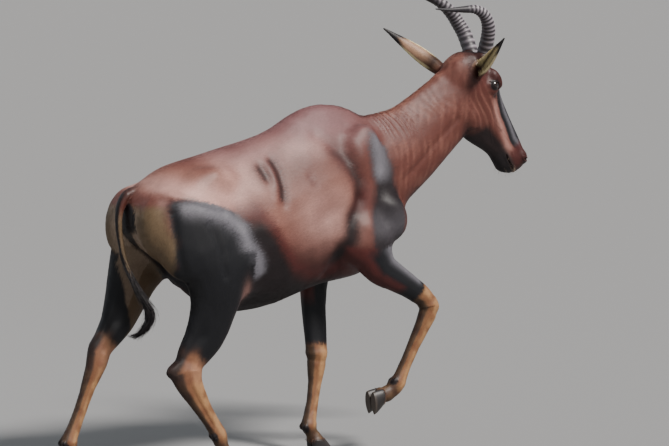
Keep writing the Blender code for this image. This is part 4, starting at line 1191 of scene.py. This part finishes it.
# no hair on the eyes, the lips' edge or the nostrils' inside, nor within a centimetre of the ground
eye_miss = np.linalg.norm(np.column_stack([along, abs(face_left), out]) - np.array(EYE_AT), axis=1)
slit = abs(out - lips_meet(along))
bare = (kind == "face") & ((eye_miss < 0.0245) | ((slit < 0.0022) & (along > MOUTH_CORNER)))
pit = (
    ((along - NOSTRIL[0]) / 0.0105) ** 2 + ((abs(face_left) - NOSTRIL[1]) / 0.010) ** 2
    + ((out - NOSTRIL[2]) / 0.0105) ** 2
)
bare |= (kind == "face") & (pit < 1)
bare |= roots[:, 2] < 0.010
length = np.where((kind == "face") & (eye_miss < 0.034), length * 0.6, length)
length = np.where(on_dock, length * 0.75, length)

tints = point_colours(roots, facing) * (0.90 + 0.20 * chance.random(count))[:, None]
centre_up = np.interp(ahead, (-0.8, -0.3, 0.1, 0.3, 0.62), (0.88, 0.84, 0.93, 1.05, 1.28))
lock_rows = (roots, facing, way, length, width, thick, lift, tints)
for part in np.unique(region):
    mine = np.nonzero((region == part) & ~bare)[0]
    if part in ("head", "muzzle"):
        chart = np.column_stack([np.arctan2(face_left, out + 0.02), along])[mine]
    elif part == "ear":
        rows = roots[mine]
        chart = np.column_stack([ear_share(rows), np.zeros(len(rows))])
        for k, side_name in enumerate(EARS):
            start, end, hollow, side = (np.array(v) for v in ear_axes(side_name))
            near = np.linalg.norm(rows - (start + end) / 2, axis=1) < 0.17
            across = np.clip((rows - start) @ side / 0.034, -1, 1)
            inner = facing[mine] @ hollow > 0
            chart[near, 1] = (across + 2.2 * inner + 5.0 * k)[near]
    elif part.startswith("leg"):
        chart = np.column_stack([np.arctan2(outward, offset * 0.03), level])[mine]
    else:
        chart = np.column_stack([np.arctan2(left, up - centre_up), ahead])[mine]
    piece = lay_locks("coat_" + part, *(values[mine] for values in lock_rows), chart)

# ---- Tail hair. A tassel of long black hair that starts halfway down the dock, swings to
# the right and curls at its end. Each strand is a tapered three-sided body.
TASSEL = (  # ahead, left, up, half width of the bunch
    (-0.800, 0.0, 0.870, 0.010), (-0.803, -0.004, 0.790, 0.012), (-0.792, -0.022, 0.715, 0.013),
    (-0.777, -0.054, 0.655, 0.015), (-0.760, -0.080, 0.608, 0.018), (-0.743, -0.096, 0.565, 0.020),
    (-0.744, -0.096, 0.525, 0.019), (-0.768, -0.085, 0.490, 0.012), (-0.797, -0.067, 0.470, 0.005),
)
TASSEL_STRANDS = 520
STRAND_STEPS = 14


def strands(name, paths, thick, tints, finish):
    """Tapered strands through paths, an array of strand by step by place."""
    count, steps, _ = paths.shape
    run = unit(np.gradient(paths, axis=1).reshape(-1, 3)).reshape(paths.shape)
    side = unit(np.cross(run.reshape(-1, 3), (0.31, 0.17, 0.94))).reshape(paths.shape)
    other = np.cross(run, side)
    taper = (1 - np.linspace(0, 1, steps) ** 1.5 * 0.92)[None, :, None] * np.asarray(thick)[:, None, None]
    turns = np.arange(3) * 2 * math.pi / 3
    points = np.stack([paths + (side * math.cos(t) + other * math.sin(t)) * taper for t in turns], axis=2)
    faces = []
    for step in range(steps - 1):
        for k in range(3):
            a, b = step * 3 + k, step * 3 + (k + 1) % 3
            faces += [(a, b, b + 3), (a, b + 3, a + 3)]
    last = (steps - 1) * 3
    faces += [(0, 2, 1), (last, last + 1, last + 2)]
    faces = (np.arange(count)[:, None, None] * steps * 3 + np.array(faces)).reshape(-1, 3)
    piece = mesh_of(name, points.reshape(-1, 3), faces, finish)
    painted(piece.data, np.repeat(tints, steps * 3, axis=0))
    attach(piece, "root")
    return piece


def spots_on(low, high, starts, size):
    """Places on the texture for whole strands, spread by where they start."""
    chart = PATCH + (starts - low) / (high - low) * (1 - 2 * PATCH)
    return np.repeat(chart, size, axis=0) + (chance.random((len(chart) * size, 2)) - 0.5) * PATCH


core = spline(TASSEL, 12)
spans = np.linspace(0, 1, len(core))
begins = chance.random(TASSEL_STRANDS) ** 0.8 * 0.72
ends = np.minimum(1, begins + 0.26 + 0.30 * chance.random(TASSEL_STRANDS))
shares = begins[:, None] + (ends - begins)[:, None] * np.linspace(0, 1, STRAND_STEPS)[None]
inner_turn = chance.random(TASSEL_STRANDS) * 2 * math.pi
spread = np.sqrt(chance.random(TASSEL_STRANDS))
fall = np.linspace(0, 1, STRAND_STEPS)[None]
bunch = np.interp(shares, spans, core[:, 3]) * spread[:, None] * (0.55 + 0.75 * fall)
curl = inner_turn[:, None] + 1.6 * fall * chance.normal(size=(TASSEL_STRANDS, 1))
stray = 0.010 * fall**3 * chance.normal(size=(TASSEL_STRANDS, 1))
body_path = [np.interp(shares, spans, core[:, k]) for k in range(3)]
tassel_paths = np.stack(
    [
        body_path[1] + SPINE_LEFT + bunch * np.cos(curl),
        -(body_path[0] + WITHERS_AHEAD) + bunch * np.sin(curl) + stray,
        body_path[2] + 0.5 * stray,
    ],
    axis=2,
)
hair_tint = np.array(SOOT[:3]) * (0.5 + 1.1 * chance.random((TASSEL_STRANDS, 1)))
thick = 0.0007 + 0.0006 * chance.random(TASSEL_STRANDS)
tassel = strands("tail_tassel", tassel_paths, thick, hair_tint, lock_finish)
bake_map(
    tassel.data,
    spots_on(
        np.zeros(2), np.array((1, 2 * math.pi)), np.column_stack([begins, inner_turn]), STRAND_STEPS * 3
    ),
)

# ---- Horns. Hollow keratin sheaths on bone cores: thick rings worn pale on their crests, with a
# painted highlight on the front of the lower three quarters, smooth dark tips. They grow up from
# the poll, out and then back.
HORN_RINGS = 19
HORN_ROOT = (0.682, 0.043, 1.414)  # ahead, out to its own side, up
RINGED = (0.05, 0.74)  # the share of the horn's length that carries rings
RING_HEIGHT = 0.0028
HORN_ROWS = {  # out, back, up from the root, radius
    "right": (
        (-0.004, -0.004, -0.030, 0.0262), (0.000, 0.000, 0.000, 0.0267), (0.026, 0.002, 0.060, 0.0254),
        (0.043, 0.012, 0.104, 0.0237), (0.050, 0.034, 0.142, 0.0208), (0.053, 0.074, 0.163, 0.0160),
        (0.055, 0.130, 0.164, 0.0117), (0.057, 0.190, 0.164, 0.0068), (0.058, 0.249, 0.168, 0.0022),
    ),
    "left": (
        (-0.004, -0.004, -0.030, 0.0262), (0.000, 0.000, 0.000, 0.0272), (0.030, 0.008, 0.065, 0.0267),
        (0.045, 0.026, 0.106, 0.0254), (0.051, 0.051, 0.143, 0.0237), (0.054, 0.095, 0.180, 0.0194),
        (0.056, 0.150, 0.203, 0.0137), (0.057, 0.205, 0.216, 0.0080), (0.058, 0.262, 0.226, 0.0022),
    ),
}
HORN_AROUND = 40
# the horns' pale is wear on the ring crests, weighted to the front as a painted highlight
HORN_DARK, HORN_WEAR_AND_SHEEN, HORN_TIP = colour("221D24"), colour("ACA3AB"), colour("17141A")
horn_finish, tree, shader = new_material("ringed_horn_keratin")
place = node(tree, "ShaderNodeTexCoord").outputs["Object"]
# fibres run up the horn about a millimetre apart; drawn at two
stretch = node(tree, "ShaderNodeMapping", in_0=place, in_3=(480.0, 480.0, 60.0))
fibres = node(tree, "ShaderNodeTexNoise", Vector=stretch.outputs[0], Scale=1.0, Detail=4.0)
tone = node(tree, "ShaderNodeMapRange", Value=fibres.outputs[0], in_3=0.75, in_4=1.25)
shaded_markings(tree, shader, tone.outputs[0])
relief(tree, shader, fibres.outputs[0], 0.5, 0.0005)
shader.inputs["Roughness"].default_value = 0.50
shader.inputs["IOR"].default_value = 1.55
for side_name, left in (("left", 1), ("right", -1)):
    rows = spline(HORN_ROWS[side_name], 22)
    centres = [at(HORN_ROOT[0] - r[1], left * (HORN_ROOT[1] + r[0]), HORN_ROOT[2] + r[2]) for r in rows]
    rings, tints = [], []
    face_way = Vector((0, -1, 0))
    for i, row in enumerate(rows):
        run = (centres[min(i + 1, len(rows) - 1)] - centres[max(i - 1, 0)]).normalized()
        face_way = (face_way - face_way.dot(run) * run).normalized()
        side = run.cross(face_way)
        share = i / (len(rows) - 1)
        ringed = float(
            ease(np.array(share), RINGED[0] - 0.04, RINGED[0]) * ease(np.array(RINGED[1] - share), 0, 0.12)
        )
        swell = (0.5 + 0.5 * math.cos(share / RINGED[1] * HORN_RINGS * 2 * math.pi)) ** 1.4
        ring = []
        for t in np.arange(HORN_AROUND) * 2 * math.pi / HORN_AROUND:
            front = 0.5 + 0.5 * math.sin(t)
            tilt = 0.0016 * (front - 0.5) * ringed
            radius = row[3] + RING_HEIGHT * ringed * (swell - 0.35) * (0.45 + 0.55 * front)
            ring.append(centres[i] + run * tilt + (side * math.cos(t) + face_way * math.sin(t)) * radius)
            # pale on the ring crests as wear, and towards the front as a painted highlight
            pale_share = 0.88 * ringed * swell**1.3 * (0.12 + 0.88 * front)
            base = np.array(HORN_DARK[:3]) * (1 - share) + np.array(HORN_TIP[:3]) * share
            tints.append(base + (np.array(HORN_WEAR_AND_SHEEN[:3]) - base) * pale_share)
        rings.append(ring)
    horn = link("ringed_horn_" + side_name, rings_mesh("horn", rings), horn_finish)
    painted(horn.data, np.array(tints))
    horn.data.shade_smooth()
    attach(horn, "root")
    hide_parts("horn_" + side_name)

# ---- Eyes. Wet dark balls with a domed cornea over a brown iris and a level slot of a pupil,
# set behind the lids.
IRIS_REACH, CORNEA_RISE = math.radians(38), 0.0006
PUPIL_LONG, PUPIL_HIGH = math.radians(24), math.radians(9)
IRIS_BROWN, IRIS_EDGE = colour("221009"), colour("090403")
PUPIL_BLACK, EYE_WHITE = colour("020203"), colour("2A1C18")
eye_finish, tree, shader = new_material("wet_eye")
place = node(tree, "ShaderNodeTexCoord").outputs["Object"]
rays = node(tree, "ShaderNodeTexNoise", Vector=place, Scale=900.0, Detail=3.0)
tone = node(tree, "ShaderNodeMapRange", Value=rays.outputs[0], in_3=0.6, in_4=1.4)
shaded_markings(tree, shader, tone.outputs[0])
shader.inputs["Roughness"].default_value = 0.08
shader.inputs["IOR"].default_value = 1.376  # cornea
shader.inputs["Coat Weight"].default_value = 1.0
shader.inputs["Coat Roughness"].default_value = 0.02
for side_name, side in (("left", 1), ("right", -1)):
    centre, gaze, *_ = lids[side]
    level_way = np.cross(gaze, (0, 0, 1))
    level_way /= np.linalg.norm(level_way)
    upright = np.cross(level_way, gaze)
    ball = bpy.data.meshes.new("eyeball")
    work = bmesh.new()
    bmesh.ops.create_icosphere(work, subdivisions=5, radius=1)
    work.to_mesh(ball)
    work.free()
    way = unit(coordinates(ball))
    depth = way @ gaze
    off_axis = np.arccos(np.clip(depth, -1, 1))
    across = np.arctan2(way @ level_way, depth) / PUPIL_LONG
    high = np.arctan2(way @ upright, depth) / PUPIL_HIGH
    tints = np.tile(np.array(EYE_WHITE[:3]), (len(way), 1))
    for tone_colour, cover in (
        (IRIS_EDGE, 1 - ease(off_axis, IRIS_REACH, IRIS_REACH + 0.10)),
        (IRIS_BROWN, 1 - ease(off_axis, IRIS_REACH - 0.16, IRIS_REACH - 0.04)),
        (PUPIL_BLACK, (1 - ease(np.abs(across) ** 3 + np.abs(high) ** 2, 0.8, 1.3)) * (depth > 0)),
    ):
        tints += (np.array(tone_colour[:3]) - tints) * cover[:, None]
    dome = CORNEA_RISE * ease(IRIS_REACH + 0.05 - off_axis, 0, 0.5)
    places = centre + way * (EYE_RADIUS + dome)[:, None]
    ball.vertices.foreach_set("co", places.astype(np.float32).ravel())
    ball.update()
    ball.shade_smooth()
    eye = link("eyeball_" + side_name, ball, eye_finish)
    painted(ball, tints)
    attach(eye, "root")
    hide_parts("eye_" + side_name)

# ---- Hooves. Two pointed claws to a foot, hard keratin over a pad, with rings of growth
# round the wall and a soft band where the hair ends.
CLAW_LENGTH, CLAW_WIDTH, CLAW_SPREAD = 0.0815, 0.0325, 0.0185
CLAW_ROWS = (  # share of the height, length and width as shares of the sole's, slide ahead
    (0.0, 0.975, 0.96, 0.016), (0.05, 1.00, 1.00, 0.0158), (0.30, 0.955, 0.99, 0.012),
    (0.70, 0.80, 0.94, 0.004), (0.93, 0.69, 0.88, -0.001), (1.0, 0.63, 0.80, -0.002),
)
GROWTH_RINGS = 9
HOOF_BLACK, HOOF_WORN = colour("1C191A"), colour("4A4038")
hoof_finish, tree, shader = new_material("worn_hoof_keratin")
place = node(tree, "ShaderNodeTexCoord").outputs["Object"]
stretch = node(tree, "ShaderNodeMapping", in_0=place, in_3=(700.0, 700.0, 90.0))
grain = node(tree, "ShaderNodeTexNoise", Vector=stretch.outputs[0], Scale=1.0, Detail=4.0)
tone = node(tree, "ShaderNodeMapRange", Value=grain.outputs[0], in_3=0.7, in_4=1.3)
shaded_markings(tree, shader, tone.outputs[0])
relief(tree, shader, grain.outputs[0], 0.4, 0.0004)
shader.inputs["Roughness"].default_value = 0.45
for limb_name, (foot, pitch) in FEET.items():
    turn = Matrix.Rotation(math.radians(pitch), 3, "X")
    for side_name, sideways in (("inner", -1), ("outer", 1)):
        lean = sideways * (1 if foot[1] > 0 else -1)
        rings, tints = [], []
        for up_share, long_share, width_share, shift in spline(CLAW_ROWS, 7):
            growth = 0.0005 * math.sin(up_share * GROWTH_RINGS * 2 * math.pi) * (0.05 < up_share < 0.95)
            ring = []
            for t in np.arange(36) * 2 * math.pi / 36:
                ahead_part = (CLAW_LENGTH / 2 * long_share + growth) * math.sin(t) + shift
                taper = 1 - 0.42 * max(math.sin(t), 0) ** 2
                across = (CLAW_WIDTH / 2 * width_share + growth) * math.cos(t) * taper
                height = (up_share - 1) * CLAW_HEIGHT
                ring.append(at(*foot) + turn @ Vector((lean * CLAW_SPREAD + across, -ahead_part, height)))
                pale_share = np.clip(1 - up_share * 4, 0, 1) * 0.6 + 0.2 * max(math.sin(t), 0)
                tints.append(np.array(HOOF_BLACK[:3]) * (1 - pale_share) + np.array(HOOF_WORN[:3]) * pale_share)
            rings.append(ring)
        claw_mesh = rings_mesh("claw", rings)
        for v in claw_mesh.vertices:
            v.co.z = max(v.co.z, 0.0)
        name = limb_name + "_" + side_name
        claw = link("claw_" + name, claw_mesh, hoof_finish)
        painted(claw_mesh, np.array(tints))
        claw_mesh.shade_smooth()
        claw_mesh.set_sharp_from_angle(angle=math.radians(50))
        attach(claw, "root")
        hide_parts("hoof_" + name)

# ---- Fine hair. Long cream hairs guard the hollow of each ear, lashes hang from the upper
# lids, whiskers stand on the chin and lips, and a fringe falls over the top of each claw.
FINE_STEPS = 5
EAR_HAIRS, LASHES, WHISKERS, FRINGE_HAIRS = 260, 34, 90, 64


def fine_hair(name, starts, ways, droop, lengths, thick, tints):
    """A piece of single hairs that leave their starts one way and bend over by their droop."""
    share = np.linspace(0, 1, FINE_STEPS)[None, :, None]
    bend = np.asarray(droop)[None, None, :] * share**2
    paths = starts[:, None, :] + (unit(ways)[:, None, :] * share + bend) * lengths[:, None, None]
    piece = strands(name, paths, thick, tints, lock_finish)
    low, high = starts[:, 1:].min(0), starts[:, 1:].max(0)
    bake_map(piece.data, spots_on(low, high, starts[:, 1:], FINE_STEPS * 3))


starts, ways, lengths, tints = [], [], [], []
for side_name in EARS:
    start, end, hollow, side = (np.array(v) for v in ear_axes(side_name))
    run = (end - start) / np.linalg.norm(end - start)
    share, miss = along_ear(skin_places, side_name)
    across = miss @ side / np.interp(share, [r[0] for r in EAR_ROWS], [r[1] for r in EAR_ROWS])
    inner = (skin_facing @ hollow > 0.1) & (np.linalg.norm(miss, axis=1) < 0.042)
    near_edge = (abs(across) > 0.5) & (abs(across) < 1.15)
    rooted = np.nonzero(inner & near_edge & (share > 0.12) & (share < 0.60))[0]
    picks = chance.choice(rooted, EAR_HAIRS)
    starts.append(skin_places[picks])
    inward = -np.sign(across[picks])[:, None] * side
    ways.append(0.85 * run + 0.40 * hollow + 0.45 * inward + 0.15 * chance.normal(size=(EAR_HAIRS, 3)))
    lengths.append(0.022 * (0.6 + 0.7 * chance.random(EAR_HAIRS)) * (1 - 0.6 * share[picks]))
    tints.append(np.array(EAR_FRINGE[:3]) * (0.55 + 0.45 * chance.random((EAR_HAIRS, 1))))
starts, ways, lengths, tints = (np.concatenate(v) for v in (starts, ways, lengths, tints))
fine_hair(
    "ear_hair", starts, ways, (0, 0, -0.10), lengths, np.full(len(starts), 0.00028), tints
)

starts, ways = [], []
for side, (centre, gaze, corner, brow) in lids.items():
    for t in np.linspace(-0.66, 0.66, LASHES):
        turn_long = math.tan(t * LID_OPEN_LONG)
        turn_high = math.tan((1 - abs(t) ** 1.5) ** (1 / 1.5) * LID_OPEN_HIGH)
        way = gaze + turn_long * corner + turn_high * brow
        starts.append(centre + way / np.linalg.norm(way) * (EYE_RADIUS + 0.8 * LID_THICK))
        ways.append(gaze + 0.35 * brow + 0.45 * t * corner)
lengths = 0.0085 * (0.8 + 0.4 * chance.random(len(starts)))
tints = np.tile(np.array(SOOT[:3]), (len(starts), 1))
fine_hair(
    "lashes", np.array(starts), np.array(ways), (0, 0, -0.45), lengths, np.full(len(starts), 0.00025),
    tints,
)

along, face_left, out = on_face(skin_places)
at_lips = (along > 0.345) & (along < 0.420) & (out < 0.022) & (out > -0.045)
rooted = np.nonzero(at_lips & (skin_places[:, 2] < 1.15))[0]
picks = chance.choice(rooted, WHISKERS)
ways = skin_facing[picks] + np.array((0, -0.25, -0.25)) + 0.2 * chance.normal(size=(WHISKERS, 3))
lengths = 0.010 + 0.014 * chance.random(WHISKERS)
tints = (
    np.array(SOOT[:3]) + (np.array(CREAM[:3]) - np.array(SOOT[:3])) * (chance.random((WHISKERS, 1)) > 0.6)
)
fine_hair(
    "whiskers", skin_places[picks], ways, (0, 0, -0.25), lengths, np.full(WHISKERS, 0.00018), tints,
)

starts, ways = [], []
for foot, pitch in FEET.values():
    turn = np.array(Matrix.Rotation(math.radians(pitch), 3, "X"))
    for lean in (-1, 1):
        for t in np.arange(FRINGE_HAIRS) * 2 * math.pi / FRINGE_HAIRS:
            ahead_part = CLAW_LENGTH / 2 * CLAW_ROWS[-1][1] * math.sin(t) + CLAW_ROWS[-1][3]
            across = CLAW_WIDTH / 2 * CLAW_ROWS[-1][2] * math.cos(t) * (1 - 0.42 * max(math.sin(t), 0) ** 2)
            local = np.array((lean * CLAW_SPREAD + 0.97 * across, -0.97 * ahead_part, 0.0015))
            starts.append(np.array(at(*foot)) + turn @ local)
            ways.append(turn @ np.array((0.45 * math.cos(t), -0.45 * math.sin(t), -0.8)))
starts, ways = np.array(starts), np.array(ways) + 0.15 * chance.normal(size=(len(ways), 3))
starts += 0.001 * chance.normal(size=starts.shape)
lengths = 0.009 + 0.006 * chance.random(len(starts))
tints = np.array(GINGER[:3]) * (0.35 + 0.5 * chance.random((len(starts), 1)))
fine_hair(
    "coronet_fringe", starts, ways, (0, 0, -0.15), lengths, np.full(len(starts), 0.0006), tints
)

# ---- Floor, light and camera. A plain pale floor under an even grey sky, with one wide soft
# sun high on the right and a weak cool lamp behind on the left.
floor = bpy.data.meshes.new("floor")
floor.from_pydata([(-90, -90, 0), (90, -90, 0), (90, 90, 0), (-90, 90, 0)], [], [(0, 1, 2, 3)])
pale = bpy.data.materials.new("pale_floor")
pale.use_nodes = True
pale.node_tree.nodes["Principled BSDF"].inputs["Base Color"].default_value = (0.215, 0.217, 0.22, 1)
pale.node_tree.nodes["Principled BSDF"].inputs["Roughness"].default_value = 0.9
link("floor", floor, pale)

world = bpy.data.worlds.new("studio")
bpy.context.scene.world = world
world.use_nodes = True
world.node_tree.nodes["Background"].inputs[0].default_value = (0.94, 0.97, 1.0, 1)
world.node_tree.nodes["Background"].inputs[1].default_value = 0.43


def shone(lamp, place, target, energy, tint):
    lamp.energy, lamp.color = energy, tint
    obj = bpy.data.objects.new(lamp.name, lamp)
    bpy.context.scene.collection.objects.link(obj)
    obj.location = place
    obj.rotation_euler = (Vector(target) - Vector(place)).to_track_quat("-Z", "Y").to_euler()


key = bpy.data.lights.new("key", "SUN")
key.angle = math.radians(14)
shone(key, (-3.7, -1.1, 5.0), (0, 0, 0.9), 6.6, (1.0, 0.95, 0.90))
fill = bpy.data.lights.new("fill", "AREA")
fill.size = 3.0
shone(fill, (3.5, 3.5, 3.0), (0, 0, 0.8), 45, (0.85, 0.92, 1.0))

CAMERA_AT = (-11.8617, 7.3155, 2.0498)
CAMERA_TURN, CAMERA_DIP = math.radians(238), math.radians(5)
camera = bpy.data.cameras.new("camera")
camera.lens, camera.sensor_width = 212.4, 36.0
viewer = bpy.data.objects.new("camera", camera)
bpy.context.scene.collection.objects.link(viewer)
viewer.location = CAMERA_AT
back = Vector(
    (
        math.sin(CAMERA_TURN) * math.cos(CAMERA_DIP),
        -math.cos(CAMERA_TURN) * math.cos(CAMERA_DIP),
        math.sin(CAMERA_DIP),
    )
)
viewer.rotation_euler = (-back).to_track_quat("-Z", "Y").to_euler()
bpy.context.scene.camera = viewer
